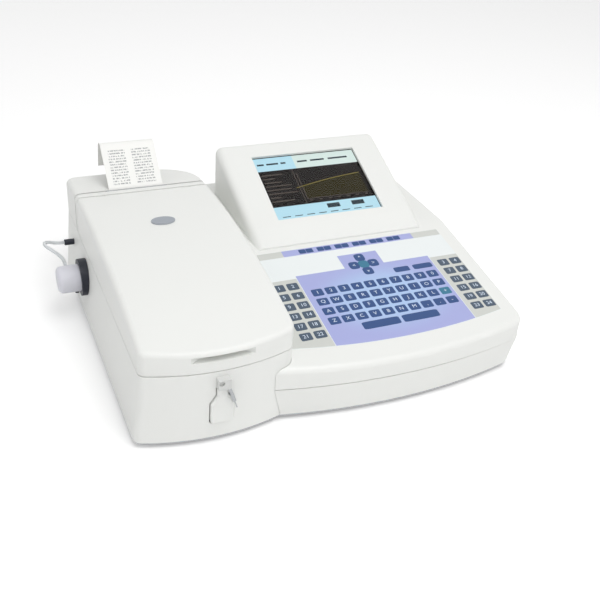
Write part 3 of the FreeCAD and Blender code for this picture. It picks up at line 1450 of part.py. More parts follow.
def fan():
    """Square frame with a seat on spokes, and a rotor of pitched blades."""
    back = "panel_y - fan_depth"
    seat = "panel_y - spoke_depth"
    box = on_panel("fan_box", fan_x, "fan_size", "fan_size", back, "fan_depth")
    throat = rod("fan_throat", "Y", "fan_size/2 - fan_rim", "fan_depth", (fan_x, back, panel_middle))
    spokes = [on_panel("fan_spoke", fan_x, wide, tall, seat, "spoke_depth")
              for wide, tall in (("fan_size - fan_rim", "spoke_width"),
                                 ("spoke_width", "fan_size - fan_rim"))]
    spokes.append(rod("fan_seat", "Y", "fan_seat_radius", "spoke_depth", (fan_x, seat, panel_middle)))
    eye = rod("fan_eye", "Y", "screw_radius + run_gap", "fan_depth", (fan_x, back, panel_middle))
    solid = fuse("fan_frame_solid", [cut("fan_ring", box, [throat]), *spokes])
    publish("fan_frame", cut("fan_frame", solid, [eye]))
    hub_back = f"{seat} - fan_play - hub_depth"
    rotor = [rod("fan_hub", "Y", "hub_radius", "hub_depth", (fan_x, hub_back, panel_middle)),
             rod("fan_shaft", "Y", "screw_radius", "hub_depth + spoke_depth",
                 (fan_x, hub_back, panel_middle))]
    middle = vector(fan_x, f"{seat} - fan_play - blade_set", panel_middle)
    pitch = FreeCAD.Placement(vector("hub_radius - fan_play", "0", "0"),
                              FreeCAD.Rotation(FreeCAD.Vector(1, 0, 0), number("blade_pitch")))
    corner = FreeCAD.Placement(vector("0", "0 - blade_width/2", "0 - blade_thickness/2"), FreeCAD.Rotation())
    for index in range(SIZES["fan_blades"]):
        blade = doc.addObject("Part::Box", "fan_blade")
        bind(blade, "Length", "fan_size/2 - hub_radius - blade_gap")
        bind(blade, "Width", "blade_width")
        bind(blade, "Height", "blade_thickness")
        spin = FreeCAD.Rotation(FreeCAD.Vector(0, 1, 0), index * 360 / SIZES["fan_blades"])
        blade.Placement = FreeCAD.Placement(middle, spin) * pitch * corner
        rotor.append(blade)
    publish("fan_rotor", fuse("fan_rotor", rotor))


def panel_fittings():
    """Mains inlet with three pins, rocker switch in its frame, and a serial port."""
    socket = fuse("mains_solid", [
        on_panel("mains_body", mains_x, "inlet_wide", "inlet_tall", "panel_y - mains_depth",
                 "mains_depth + panel_plate"),
        on_panel("mains_rim", mains_x, "inlet_wide + 4*fitting_wall", "inlet_tall + 4*fitting_wall",
                 panel_out,
                 "fitting_rim")])
    cavity = on_panel("mains_cavity", mains_x, "inlet_wide - 2*fitting_wall", "inlet_tall - 2*fitting_wall",
                      "panel_y - mains_depth + 2*fitting_wall", "mains_depth")
    pins = [on_panel("mains_pin", f"{mains_x} + {step}*mains_pin_pitch", "mains_pin_wide", "mains_pin_tall",
                     "panel_y - mains_depth + fitting_wall", "mains_pin_length")
            for step in (-1, 0, 1)]
    publish("mains_inlet", fuse("mains_inlet", [cut("mains_socket", socket, [cavity]), *pins]))
    bezel = fuse("rocker_solid", [
        on_panel("rocker_body", rocker_x, *rocker_box, "panel_y - rocker_depth",
                 "rocker_depth + panel_plate"),
        on_panel("rocker_rim", rocker_x, "rocker_wide + 4*fitting_wall", "rocker_tall + 3*fitting_wall",
                 panel_out, "fitting_rim")])
    room = on_panel("rocker_room", rocker_x, "rocker_wide + 2*seam_gap", "rocker_tall",
                    "panel_y - rocker_depth + fitting_wall", "mains_depth")
    pivot_length = "(rocker_tall + pivot_reach)"
    eye_length = f"({pivot_length} + 4*run_gap)"
    rocker_eye = rod("rocker_eye", "Z", "screw_radius + run_gap", eye_length,
                     (rocker_x, rocker_y, f"{panel_middle} - {eye_length}/2"))
    publish("rocker_frame", cut("rocker_frame", bezel, [room, rocker_eye]))
    tall = "(rocker_tall - 2*fit_gap)"
    wing = "(rocker_wide/2 - rocker_play)"
    wedge = prism("rocker_wedge", "XY", [
        (f"{rocker_x} - {wing}", f"{rocker_y} - rocker_back"),
        (f"{rocker_x} + {wing}", f"{rocker_y} - rocker_back"),
        (f"{rocker_x} + {wing}", f"{rocker_y} + rocker_high"),
        (rocker_x, f"{rocker_y} + (rocker_high + rocker_low)/2"),
        (f"{rocker_x} - {wing}", f"{rocker_y} + rocker_low"),
    ], f"{panel_middle} - {tall}/2", tall)
    pivot = rod("rocker_pivot", "Z", "screw_radius", pivot_length,
                (rocker_x, rocker_y, f"{panel_middle} - {pivot_length}/2"))
    publish("power_rocker", fuse("power_rocker", [wedge, pivot]))
    publish("serial_port", fuse("serial_port", [
        on_panel("port_body", port_x, *port_box, "panel_y - port_depth", "port_depth + panel_plate"),
        on_panel("port_rim", port_x, "port_wide", "port_tall", panel_out, "port_rim"),
        on_panel("port_shell", port_x, "port_wide - 3*port_flange", "port_tall - port_flange", panel_out,
                 "3*port_rim")]))


def board(name, left, front, wide, deep, fittings):
    """A circuit board on four corner posts with its fittings on top, as one piece."""
    pieces = [block(name + "_sheet", (left, front, "board_height"), (wide, deep, "board_thickness"))]
    for across in ("board_post_set", f"{wide} - board_post_set"):
        for along in ("board_post_set", f"{deep} - board_post_set"):
            pieces.append(rod(name + "_post", "Z", "post_radius", "board_height - floor_top",
                              (f"{left} + {across}", f"{front} + {along}", "floor_top")))
    for across, along, size in fittings:
        pieces.append(block(name + "_fitting",
                            (f"{left} + {across}", f"{front} + {along}", "board_height + board_thickness"),
                            size))
    return pieces


def boards():
    """Main board under the keyboard and power supply in front of the rear panel."""
    slim_chip = ("30", "12", "4")
    main = board("main_board", "(tower_right + main_board_set)", "(front_face + main_board_front)",
                 "main_board_wide", "main_board_deep", [
                     ("main_board_wide/5", "main_board_deep/3", ("24", "24", "3")),
                     ("main_board_wide/2", "main_board_deep/4", slim_chip),
                     ("main_board_wide/2", "main_board_deep/2", slim_chip),
                     ("3*main_board_wide/4", "2*main_board_deep/3", ("16", "22", "9"))])
    publish("main_board", fuse("main_board", main))
    left, front = "(right_side - supply_set)", "(rear_face - supply_rear_set)"
    supply = board("power_supply", left, front, "supply_wide", "supply_deep", [
        ("3*supply_wide/10", "supply_deep/3", ("34", "30", "30")),
        ("supply_wide/20", "supply_deep/6", ("8", "60", "28"))])
    supply.append(rod("reservoir", "Z", "reservoir_radius", "reservoir_height",
                      (f"{left} + 31*supply_wide/40", f"{front} + supply_deep/6",
                       "board_height + board_thickness")))
    publish("power_supply", fuse("power_supply", supply))


rear_panel()
fan()
panel_fittings()
boards()

# Closing checks, then one STEP file for each piece
doc.recompute()
os.makedirs("parts", exist_ok=True)
for item in doc.Objects:
    if "Invalid" in item.State or "Error" in item.State:
        raise RuntimeError(item.Name + " did not rebuild")
for item in parts:
    if not item.Shape.isValid() or not item.Shape.Solids:
        raise RuntimeError(item.Label + " is not a valid solid")
    item.Shape.exportStep(f"parts/{item.Label}.step")
print(len(parts), "pieces")
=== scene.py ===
"""Bench-top chemistry analyser: finishes, printed keyboard, screen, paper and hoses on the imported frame."""

import json
import math

import bmesh
import bpy
import numpy as np
from mathutils import Matrix, Vector


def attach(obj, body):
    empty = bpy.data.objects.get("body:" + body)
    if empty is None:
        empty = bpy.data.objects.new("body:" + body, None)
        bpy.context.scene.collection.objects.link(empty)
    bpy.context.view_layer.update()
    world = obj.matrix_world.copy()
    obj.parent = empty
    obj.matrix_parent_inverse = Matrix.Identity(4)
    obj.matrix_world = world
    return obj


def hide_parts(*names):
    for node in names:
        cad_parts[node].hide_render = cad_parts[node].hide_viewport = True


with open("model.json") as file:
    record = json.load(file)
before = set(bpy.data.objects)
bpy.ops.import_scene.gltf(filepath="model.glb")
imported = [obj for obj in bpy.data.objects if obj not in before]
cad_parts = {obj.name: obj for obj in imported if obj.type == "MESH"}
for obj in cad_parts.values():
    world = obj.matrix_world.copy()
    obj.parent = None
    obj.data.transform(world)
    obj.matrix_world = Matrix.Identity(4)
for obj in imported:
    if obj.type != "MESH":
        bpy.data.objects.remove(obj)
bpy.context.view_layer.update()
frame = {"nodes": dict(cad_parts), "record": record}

# Lengths are in millimetres and angles in degrees, unless a comment says otherwise
MM = 0.001

# Camera, solved from the straight edges of the case; its place is in metres
CAMERA_PLACE = (-0.2998, -0.6967, 0.5097)
CAMERA_YAW, CAMERA_PITCH, CAMERA_ROLL = 25.581, 32.414, 4.790
CAMERA_LENS, SENSOR_WIDTH = 51.03, 36

# Hoses, from the pump's legs to the sleeves in the tower's wall
HOSE_ROUTES = {
    "inlet_hose": [(-198, 79, 58.6), (-198, 87.5, 58.6), (-204, 97.5, 61.5), (-211.5, 107, 63.5),
                   (-212.5, 118, 62.5), (-206, 125.8, 58.5), (-197.3, 127, 55), (-190, 127, 55)],
    "outlet_hose": [(-198, 79, 37.4), (-198, 87, 37.4), (-198.6, 95.5, 30), (-198.2, 98.8, 20.8),
                    (-195.6, 98, 14.9), (-191.3, 97, 12), (-187, 97, 12)],
}
HOSE_DIAMETER, HOSE_STEPS, HOSE_AROUND = 3.6, 12, 5

# Finishes: the width over which a tone drifts, how strong a grain is, and the lines that brushing leaves
DRIFT_WIDE, DRIFT_DETAIL, DRIFT_GLOSS = 70, 3, 0.1
GRAIN_DETAIL, GRAIN_STRENGTH = 2, 0.4
BRUSH_LONG, BRUSH_ACROSS, BRUSH_DETAIL, BRUSH_GLOSS = 17, 0.4, 3, 0.3

# Deck slope and screen, as the shells have them
DECK_FRONT, DECK_LIP, DECK_TILT = -171, 56.5, 9.1
SCREEN_MIDDLE, SCREEN_TILT = (79.5, 77, 117.4), 21.8

# Keyboard film: across the deck, up its slope and out of its face
FILM_LEFT, FILM_RIGHT, FILM_TOP = -36.5, 191, 171
FILM_CORNER, FILM_BOW = 36, 11
FILM_BACK, FILM_FACE, PRINT_FACE = -0.55, 0.15, 0.2
FILM_STEPS, PANEL_STEPS, PAD_STEPS = 60, 48, 12

# Printed areas of the film, and the bare gaps beside them
PANEL_LEFT, PANEL_RIGHT, PANEL_TOP = 6.5, 157.5, 130.5
ARROW_LEFT, ARROW_RIGHT, ARROW_TOP = 61, 105.5, 151
STRIP_LOW, PAD_TOP = 161.5, 127
PRINT_INSET, SIDE_GAP, TOP_GAP, PAD_GAP = 0.6, 0.4, 0.3, 0.6

# Violet print: where it is palest, how far that reaches, and the share of the reach that stays pale
PALE_MIDDLE, PALE_REACH, PALE_CORE = (84, 82, 0), (85, 55), 0.35

# Keys of the film: sizes, places, and how square their corners are
KEY_WIDE, KEY_DEEP, KEY_RISE = 11.8, 10, 0.45
KEY_COLUMNS, KEY_ROWS, TEAL_KEY = 10, 4, 29
KEY_MIDDLE, COLUMN_PITCH, ROW_PITCH, TOP_ROW = 83.5, 14.4, 13.8, 102.7
PAD_ROWS, LEFT_PAD, RIGHT_PAD = 6, (-16.34, -1.94), (169.4, 183.8)
BAR_WIDE, BAR_SET = 40, 21.5
ARROW_ROW, ARROW_REACH, ARROW_SIZE = 133, 11, 11.2
STRIP_WIDE, STRIP_DEEP, STRIP_SPREAD = 7.6, 6.4, 4
STRIP_KEYS, STRIP_PAIRS = (32.5, 134.5), 6
KEY_CORNER, BAR_CORNER, ARROW_CORNER, UPPER_CORNER = 8, 9, 3.5, 7
KEY_AROUND, BAR_AROUND = 40, 48

# Two wide keys above the rows: columns to the right of the middle, and width as a share of a key's
UPPER_KEYS, UPPER_DEEP = ((2.5, 1.5), (4.2, 1.9)), 7.5

# A key's rings from its foot to its top, as shares of its width and of its rise
KEY_RINGS = ((1, 0), (1, 0.55), (0.985, 0.8), (0.95, 0.93), (0.86, 1.0))

# Characters on the keys
LETTER_MARKS, ARROW_MARKS, TEAL_MARK = "1234567890QWERTYUIOPASDFGHJKLZXCVBNM,.-", "<>v^", "+"
LEGEND_SIZE, LEGEND_SINK, LEGEND_RISE, LEGEND_STEPS = 6.2, 0.03, 0.05, 3

# Liquid crystal panel behind the lens, out from the screen's face
PANEL_WIDE, PANEL_TALL, PANEL_BACK, PANEL_FACE = 140, 101, -10, -4.3
INK_FACE, INK_SINK, INK_STEP, INK_COLUMNS = -4.15, 0.1, 0.05, 12

# Picture on the panel, from the middle of the screen; a box is its left, right, low and high edge
VIEW_SIDE, VIEW_TOP = 62, 46.5
HEADER_LOW, HEADER_SPLIT, FOOTER_TOP = 27, -14, -26
PLOT_LEFT, PLOT_LOW, PLOT_GAP = -17, -18, 0.6
TRACE_LEFT, TRACE_RIGHT, TRACE_LOW = -24, 57, -1.6
TRACE_CLIMB, TRACE_SWELL, TRACE_HALF = 12.8, 1.6, 0.45
TEXT_LEFT, TEXT_TOP, TEXT_PITCH, TEXT_TALL = -58, 20, 5.5, 1.3
TEXT_REACHES = (24, 14, 20, 30, 28, 34, 12, 26)
TICK_SPAN, TICK_COUNT, TICK_WIDE, TICK_EDGES = (-15, 52), 7, 3, (-22, -20.4)
FRAME_LINES = ((-20.8, -20.0, -25.5, 26.5), (-17.5, -16.7, -19, 20), (-17, 57, -19, -18.4))
BUTTON_BOXES = ((1, 16, -35, -29), (30.5, 45.5, -35, -29))
NOTE_LEFTS, NOTE_WIDE, NOTE_EDGES = range(-54, 45, 14), 9, (-41, -40)
HEADER_WORDS, HEADER_EDGES = ((-58, 8), (-47, 14), (-30, 6), (-10, 12), (6, 17), (28, 24)), (35.6, 38)

# Paper strip: its width, the corners of its path through the slot in Y and Z, and its bow
PAPER_MIDDLE, PAPER_WIDE = -114, 57
PAPER_START, PAPER_RIM, PAPER_FOLD = (110.3, 111), (110.3, 118.03), (144.3, 151.03)
FOLD_RADIUS, FOLD_END, PAPER_TAIL = 9, 11.3, 24
PAPER_BOW, BOW_START, BOW_RUN = 0.5, 8, 30
RISE_STEPS, LEAN_STEPS, FOLD_STEPS, TAIL_STEPS, WIDTH_STEPS = 4, 14, 16, 10, 13

# Print on the strip: middle and half width of both columns and of the printed length
LEFT_COLUMN, RIGHT_COLUMN, PRINTED_LENGTH = (15, 9), (41, 10), (31, 20)
LINE_PITCH, LINE_SHARE, MARK_LEVEL, MARK_DETAIL = 3.1, 0.5, 0.48, 2

# Studio, in metres and watts: light from all round, what the camera sees added to the floor, and the lamps;
# a light of 1 is white
ROOM_LIGHT, FLOOR_VEIL, FLOOR_HALF = 0.6, 0.2, 4.0
LAMP_AIM = (0, 0, 0.05)
LAMPS = (
    ("overhead_softbox", (0.2, -0.6, 1.6), 1.0, 12.2),
    ("front_softbox", (0.5, -1.7, 0.8), 1.2, 2.0),
    ("left_fill", (-1.6, -0.5, 0.9), 1.2, 1.8),
)


def linear(code):
    """Linear colour of an sRGB hex code."""
    parts = [int(code[i:i + 2], 16) / 255 for i in (1, 3, 5)]
    return [p / 12.92 if p <= 0.04045 else ((p + 0.055) / 1.055) ** 2.4 for p in parts] + [1.0]


# Camera and hoses
def place_camera():
    """The camera looks along its yaw and pitch and is rolled about its line of sight."""
    yaw, pitch, roll = (math.radians(angle) for angle in (CAMERA_YAW, CAMERA_PITCH, CAMERA_ROLL))
    ahead = Vector((math.sin(yaw) * math.cos(pitch), math.cos(yaw) * math.cos(pitch), -math.sin(pitch)))
    level = Vector((math.cos(yaw), -math.sin(yaw), 0))
    above = level.cross(ahead)
    right = level * math.cos(roll) + above * math.sin(roll)
    up = above * math.cos(roll) - level * math.sin(roll)
    turned = Matrix((right, up, -ahead)).transposed().to_4x4()
    lens = bpy.data.cameras.new("camera")
    lens.lens = CAMERA_LENS
    lens.sensor_width = SENSOR_WIDTH
    lens.sensor_fit = "HORIZONTAL"
    camera = bpy.data.objects.new("camera", lens)
    camera.matrix_world = Matrix.Translation(CAMERA_PLACE) @ turned
    bpy.context.collection.objects.link(camera)
    bpy.context.scene.camera = camera


def lay_hose(name, material):
    """A round hose whose centreline is a quadratic curve drawn by its route's points."""
    route = np.array(HOSE_ROUTES[name]) * MM
    curve = bpy.data.curves.new(name + "_line", "CURVE")
    curve.dimensions = "3D"
    line = curve.splines.new("NURBS")
    line.points.add(len(route) - 1)
    line.points.foreach_set("co", np.column_stack([route, np.ones(len(route))]).ravel())
    line.order_u = 3
    line.use_endpoint_u = True
    line.resolution_u = HOSE_STEPS
    curve.bevel_depth = HOSE_DIAMETER / 2 * MM
    curve.bevel_resolution = HOSE_AROUND
    curve.use_fill_caps = True
    curve.materials.append(material)
    hose = bpy.data.objects.new(name + "_tube", curve)
    bpy.context.collection.objects.link(hose)
    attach(hose, "root")
    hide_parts(name)


# Nodes and materials
def add(tree, kind, inputs=(), **settings):
    """A node with its settings; each named input is a value, or a socket that is linked to it."""
    made = tree.nodes.new(kind)
    for name, value in settings.items():
        setattr(made, name, value)
    for name, value in dict(inputs).items():
        if isinstance(value, bpy.types.NodeSocket):
            tree.links.new(value, made.inputs[name])
        else:
            made.inputs[name].default_value = value
    return made


def finish(name, code, roughness, grain_mm=0, depth_mm=0, spread=0, **sockets):
    """One colour whose tone drifts by spread over a hand's width, with a fine grain pressed into it."""
    material = bpy.data.materials.new(name)
    material.use_nodes = True
    tree = material.node_tree
    shader = tree.nodes["Principled BSDF"]
    shader.inputs["Base Color"].default_value = linear(code)
    shader.inputs["Roughness"].default_value = roughness
    for socket, value in sockets.items():
        shader.inputs[socket.replace("_", " ")].default_value = value
    if spread or grain_mm:
        spot = add(tree, "ShaderNodeTexCoord").outputs["Object"]
    if spread:
        noise = add(tree, "ShaderNodeTexNoise",
                    {"Vector": spot, "Scale": 1 / (DRIFT_WIDE * MM), "Detail": DRIFT_DETAIL})
        cloud = noise.outputs["Fac"]
        tone = add(tree, "ShaderNodeMapRange",
                   {"Value": cloud, "To Min": 1 - spread, "To Max": 1 + spread})
        tint = add(tree, "ShaderNodeVectorMath",
                   {0: linear(code)[:3], "Scale": tone.outputs["Result"]}, operation="SCALE")
        gloss = add(tree, "ShaderNodeMapRange",
                    {"Value": cloud, "To Min": roughness * (1 - DRIFT_GLOSS),
                     "To Max": roughness * (1 + DRIFT_GLOSS)})
        tree.links.new(tint.outputs["Vector"], shader.inputs["Base Color"])
        tree.links.new(gloss.outputs["Result"], shader.inputs["Roughness"])
    if grain_mm:
        grain = add(tree, "ShaderNodeTexNoise",
                    {"Vector": spot, "Scale": 1 / (grain_mm * MM), "Detail": GRAIN_DETAIL})
        bump = add(tree, "ShaderNodeBump",
                   {"Height": grain.outputs["Fac"], "Strength": GRAIN_STRENGTH, "Distance": depth_mm * MM})
        tree.links.new(bump.outputs["Normal"], shader.inputs["Normal"])
    return material


def brushed(name, code, roughness):
    """Metal with fine lines along X: a noise that is drawn out from their width to their length."""
    material = finish(name, code, roughness, Metallic=1.0)
    tree = material.node_tree
    spot = add(tree, "ShaderNodeTexCoord").outputs["Object"]
    along, across = 1 / (BRUSH_LONG * MM), 1 / (BRUSH_ACROSS * MM)
    drawn = add(tree, "ShaderNodeMapping", {"Vector": spot, "Scale": (along, across, across)})
    lines = add(tree, "ShaderNodeTexNoise",
                {"Vector": drawn.outputs["Vector"], "Scale": 1, "Detail": BRUSH_DETAIL})
    rough = add(tree, "ShaderNodeMapRange",
                {"Value": lines.outputs["Fac"], "To Min": roughness * (1 - BRUSH_GLOSS),
                 "To Max": roughness * (1 + BRUSH_GLOSS)})
    tree.links.new(rough.outputs["Result"], tree.nodes["Principled BSDF"].inputs["Roughness"])
    return material


def lit(name, code, strength):
    """A lit area of the liquid crystal panel, which gives only its own light."""
    return finish(name, "#050505", 0.6, Emission_Color=linear(code), Emission_Strength=strength,
                  Specular_IOR_Level=0.05)


def thermal_paper():
    """Matt coated paper with two columns of small grey print, set out on the strip's own map.

    Ink shows where a fine noise is high, in the first share of each line, inside a column and the
    printed length.
    """
    blank, print_grey = "#F3F3F0", "#A6A7A9"
    material = finish("thermal_paper", blank, 0.75)
    tree = material.node_tree
    spot = add(tree, "ShaderNodeUVMap", uv_map="strip").outputs["UV"]
    axes = add(tree, "ShaderNodeSeparateXYZ", {"Vector": spot}).outputs
    cell = add(tree, "ShaderNodeMapping", {"Vector": spot, "Scale": (1.0, 1 / LINE_PITCH, 1)})
    noise = add(tree, "ShaderNodeTexNoise",
                {"Vector": cell.outputs["Vector"], "Scale": 1, "Detail": MARK_DETAIL})
    marks = add(tree, "ShaderNodeMath", {0: noise.outputs["Fac"], 1: MARK_LEVEL}, operation="GREATER_THAN")
    line = add(tree, "ShaderNodeMath", {0: axes["Y"], 1: LINE_PITCH}, operation="DIVIDE")
    share = add(tree, "ShaderNodeMath", {0: line.outputs["Value"]}, operation="FRACT")
    rows = add(tree, "ShaderNodeMath", {0: share.outputs["Value"], 1: LINE_SHARE}, operation="LESS_THAN")
    left, right, printed = [
        add(tree, "ShaderNodeMath", {0: axes[axis], 1: middle, 2: half}, operation="COMPARE")
        for axis, (middle, half) in (("X", LEFT_COLUMN), ("X", RIGHT_COLUMN), ("Y", PRINTED_LENGTH))]
    columns = add(tree, "ShaderNodeMath", {0: left.outputs["Value"], 1: right.outputs["Value"]},
                  operation="MAXIMUM")
    ink = marks
    for mask in (rows, columns, printed):
        ink = add(tree, "ShaderNodeMath", {0: ink.outputs["Value"], 1: mask.outputs["Value"]},
                  operation="MULTIPLY")
    mixed = add(tree, "ShaderNodeMix",
                {"Factor": ink.outputs["Value"], "A": linear(blank), "B": linear(print_grey)},
                data_type="RGBA")
    tree.links.new(mixed.outputs["Result"], tree.nodes["Principled BSDF"].inputs["Base Color"])
    return material


def violet_print():
    """Violet-blue print that pales between the rows of keys, following the film's own map of the deck.

    The tone goes by the distance from the pale middle, measured in shares of its reach across and up.
    """
    material = finish("violet_blue_print", "#AAB6E2", 0.38, Coat_Weight=0.25)
    tree = material.node_tree
    spot = add(tree, "ShaderNodeUVMap", uv_map="deck").outputs["UV"]
    shares = (1 / PALE_REACH[0], 1 / PALE_REACH[1], 0)
    near = add(tree, "ShaderNodeVectorMath", {0: spot, 1: PALE_MIDDLE}, operation="SUBTRACT")
    shrunk = add(tree, "ShaderNodeVectorMath", {0: near.outputs["Vector"], 1: shares}, operation="MULTIPLY")
    far = add(tree, "ShaderNodeVectorMath", {0: shrunk.outputs["Vector"]}, operation="LENGTH")
    edge = add(tree, "ShaderNodeMapRange",
               {"Value": far.outputs["Value"], "From Min": PALE_CORE, "From Max": 1.0},
               interpolation_type="SMOOTHSTEP")
    mixed = add(tree, "ShaderNodeMix",
                {"Factor": edge.outputs["Result"], "A": linear("#A9C3E8"), "B": linear("#A4AADB")},
                data_type="RGBA")
    tree.links.new(mixed.outputs["Result"], tree.nodes["Principled BSDF"].inputs["Base Color"])
    return material


# What each slot of the record is made of; moulded grains are drawn coarser than real ones, so that they show
SLOTS = {
    # Injection-moulded ABS: a satin white with a soft, broad highlight
    "case_plastic": finish("moulded_white_abs", "#E9EAE7", 0.42, 0.8, 0.05, 0.012),
    # Dark moulded fittings: the same satin, with a bluish black tone
    "dark_plastic": finish("navy_black_abs", "#191D2B", 0.45, 0.7, 0.05, 0.08),
    # Machined acetal: smooth and a little waxy
    "grey_plastic": finish("grey_acetal", "#8C8F93", 0.4, 0.9, 0.03, 0.03),
    # Machined acetal of the probe block: the same, nearly white
    "pale_plastic": finish("pale_grey_acetal", "#D3D4D2", 0.4, 0.9, 0.03, 0.02),
    # Textured polyester film: a fine matt grain under a thin gloss
    "keyboard_film": finish("white_polyester_film", "#E9EEEE", 0.38, 0.6, 0.02, Coat_Weight=0.25),
    # Printed oval plate: an even satin grey
    "badge_plate": finish("satin_grey_badge", "#9AA0A8", 0.32, 0.5, 0.02),
    # Acrylic screen window: clear, and coated against glare, so it hardly mirrors the room
    "clear_lens": finish("coated_acrylic", "#FFFFFF", 0.04, Transmission_Weight=1.0, IOR=1.15),
    # Panel that is off: matt and nearly black
    "display_panel": finish("liquid_crystal_panel", "#171312", 0.6, Specular_IOR_Level=0.1),
    # Frosted polypropylene of the pump's cup: milky, with a little light coming through
    "cup_plastic": finish("frosted_polypropylene", "#ECECF4", 0.4, Transmission_Weight=0.2, IOR=1.46),
    # Silicone tubing: cloudy, with a sharper highlight
    "hose_silicone": finish("translucent_silicone", "#E9ECEE", 0.3, Transmission_Weight=0.45, IOR=1.41),
    # Moulded rubber of feet and platen: matt and uneven
    "black_rubber": finish("matt_black_rubber", "#1C1C1D", 0.8, 0.8, 0.08, 0.1),
    # Edge-wound paper roll: matt and off-white
    "paper": finish("white_paper", "#F0F0EC", 0.8, 0.5, 0.03, 0.01),
    # Ground steel of pins, frames and motors: grey, with fine lines
    "steel": brushed("ground_steel", "#B9BBBE", 0.34),
    # Anodised aluminium of optics and rear panel: paler, with a softer highlight
    "aluminium": brushed("anodised_aluminium", "#C6C8CA", 0.38),
    # Glass-epoxy board: green mask, glossy over an uneven weave
    "circuit_board": finish("green_solder_mask", "#1E5B36", 0.4, 1.6, 0.05, 0.1),
    # Coated filter glass: violet and mirror-smooth
    "filter_glass": finish("coated_filter_glass", "#9A7BC0", 0.08, Transmission_Weight=0.8, IOR=1.5),
}
PAPER = thermal_paper()
VIOLET = violet_print()

# Inks on the film: satin like it, and grained like it on areas and keys
GREY_PRINT = finish("warm_grey_print", "#CBCDC8", 0.4, 0.6, 0.02, Coat_Weight=0.25)
KEY_BLUE = finish("slate_blue_key_print", "#24477E", 0.45, 0.6, 0.02)
KEY_GREY = finish("slate_grey_key_print", "#435365", 0.45, 0.6, 0.02)
KEY_TEAL = finish("teal_key_print", "#2E7390", 0.45, 0.6, 0.02)
LEGEND = finish("pale_legend_print", "#D8E4F4", 0.4)

# Lit areas of the panel: flat colours that keep their tone under any lamp
SKY = lit("pale_blue_pixels", "#B8E1F0", 1.0)
MIST = lit("cream_blue_pixels", "#D8E9E4", 1.0)
OLIVE = lit("dim_olive_pixels", "#332E16", 0.8)
TRACE = lit("yellow_olive_pixels", "#857A38", 0.9)
DIM = lit("dim_grey_pixels", "#5E5650", 0.8)
DARK = lit("dark_slate_pixels", "#39464E", 0.8)


# Surfaces
def deck(across, up, out):
    """Points across the deck, up its slope from the lip and out of its face, in metres."""
    tilt = math.radians(DECK_TILT)
    y = DECK_FRONT + up * math.cos(tilt) - out * math.sin(tilt)
    z = DECK_LIP + up * math.sin(tilt) + out * math.cos(tilt)
    return np.stack(np.broadcast_arrays(across, y, z), -1) * MM


def screen(across, up, out):
    """Points across the screen, up it and out of its face from its middle, in metres."""
    tilt = math.radians(SCREEN_TILT)
    y = SCREEN_MIDDLE[1] + up * math.cos(tilt) - out * math.sin(tilt)
    z = SCREEN_MIDDLE[2] + up * math.sin(tilt) + out * math.cos(tilt)
    return np.stack(np.broadcast_arrays(SCREEN_MIDDLE[0] + across, y, z), -1) * MM


def grid(rows, columns, round_trip):
    """Corner numbers of the faces between rows and columns of points.

    A round trip joins the last column to the first.
    """
    row, column = np.mgrid[0:rows - 1, 0:columns if round_trip else columns - 1]
    after = (column + 1) % columns
    here, above = row * columns, (row + 1) * columns
    return np.stack([here + column, here + after, above + after, above + column], -1).reshape(-1, 4)


def joined(parts):
    """One list of points and one of faces from several pairs of them."""
    starts = np.cumsum([0] + [len(points) for points, faces in parts])
    shifted = [(np.asarray(face) + start).tolist()
               for (points, faces), start in zip(parts, starts) for face in faces]
    return np.concatenate([points for points, faces in parts]), shifted


def piece(name, shape, material, body="root", stands_for=(), closed=True):
    """A mesh object at the origin from points and faces, riding on a body."""
    points, faces = shape
    mesh = bpy.data.meshes.new(name)
    mesh.from_pydata(points.tolist(), [], [list(map(int, face)) for face in faces])
    mesh.materials.append(material)
    if closed:
        work = bmesh.new()
        work.from_mesh(mesh)
        bmesh.ops.recalc_face_normals(work, faces=work.faces[:])
        work.to_mesh(mesh)
        work.free()
    made = bpy.data.objects.new(name, mesh)
    bpy.context.collection.objects.link(made)
    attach(made, body)
    if stands_for:
        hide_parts(*stands_for)
    return made


def plate(place, left, right, low, high, back, face, steps=2):
    """Thin plate: a flat box whose low and high edges may be functions of the way from left to right."""
    across = np.linspace(left, right, steps)
    edges = [edge(across) if callable(edge) else edge for edge in (low, low, high, high)]
    up = np.stack([np.broadcast_to(edge, across.shape) for edge in edges], -1)
    points = place(across[:, None], up, np.array([back, face, face, back], float)).reshape(-1, 3)
    first, last = np.arange(4), np.arange(4) + 4 * (steps - 1)
    return points, [*grid(steps, 4, True), first, last]


def keys(place, spots, wide, deep, foot, rise, corner=KEY_CORNER, around=KEY_AROUND):
    """Low domed keys: rings of the superellipse |x/a|^n + |y/b|^n = 1, drawn in as they rise."""
    angle = np.linspace(0, 2 * np.pi, around, endpoint=False)
    ring = [np.sign(f(angle)) * np.abs(f(angle)) ** (2 / corner) for f in (np.cos, np.sin)]
    inset, height = np.array(KEY_RINGS).T[:, :, None]
    rings, made = len(inset), []
    for x, up in spots:
        points = place(x + wide / 2 * inset * ring[0], up + deep / 2 * inset * ring[1], foot + rise * height)
        caps = [np.arange(around), np.arange(around) + (rings - 1) * around]
        made.append((points.reshape(-1, 3), [*grid(rings, around, True), *caps]))
    return joined(made)


def film_edge(inset):
    """The film's bowed lower edge, a circle's arc through both corners, moved up by inset."""
    half, middle = (FILM_RIGHT - FILM_LEFT) / 2, (FILM_RIGHT + FILM_LEFT) / 2
    radius = (half ** 2 + FILM_BOW ** 2) / (2 * FILM_BOW)
    return lambda x: FILM_CORNER + inset + (radius - FILM_BOW) - np.sqrt(radius ** 2 - (x - middle) ** 2)


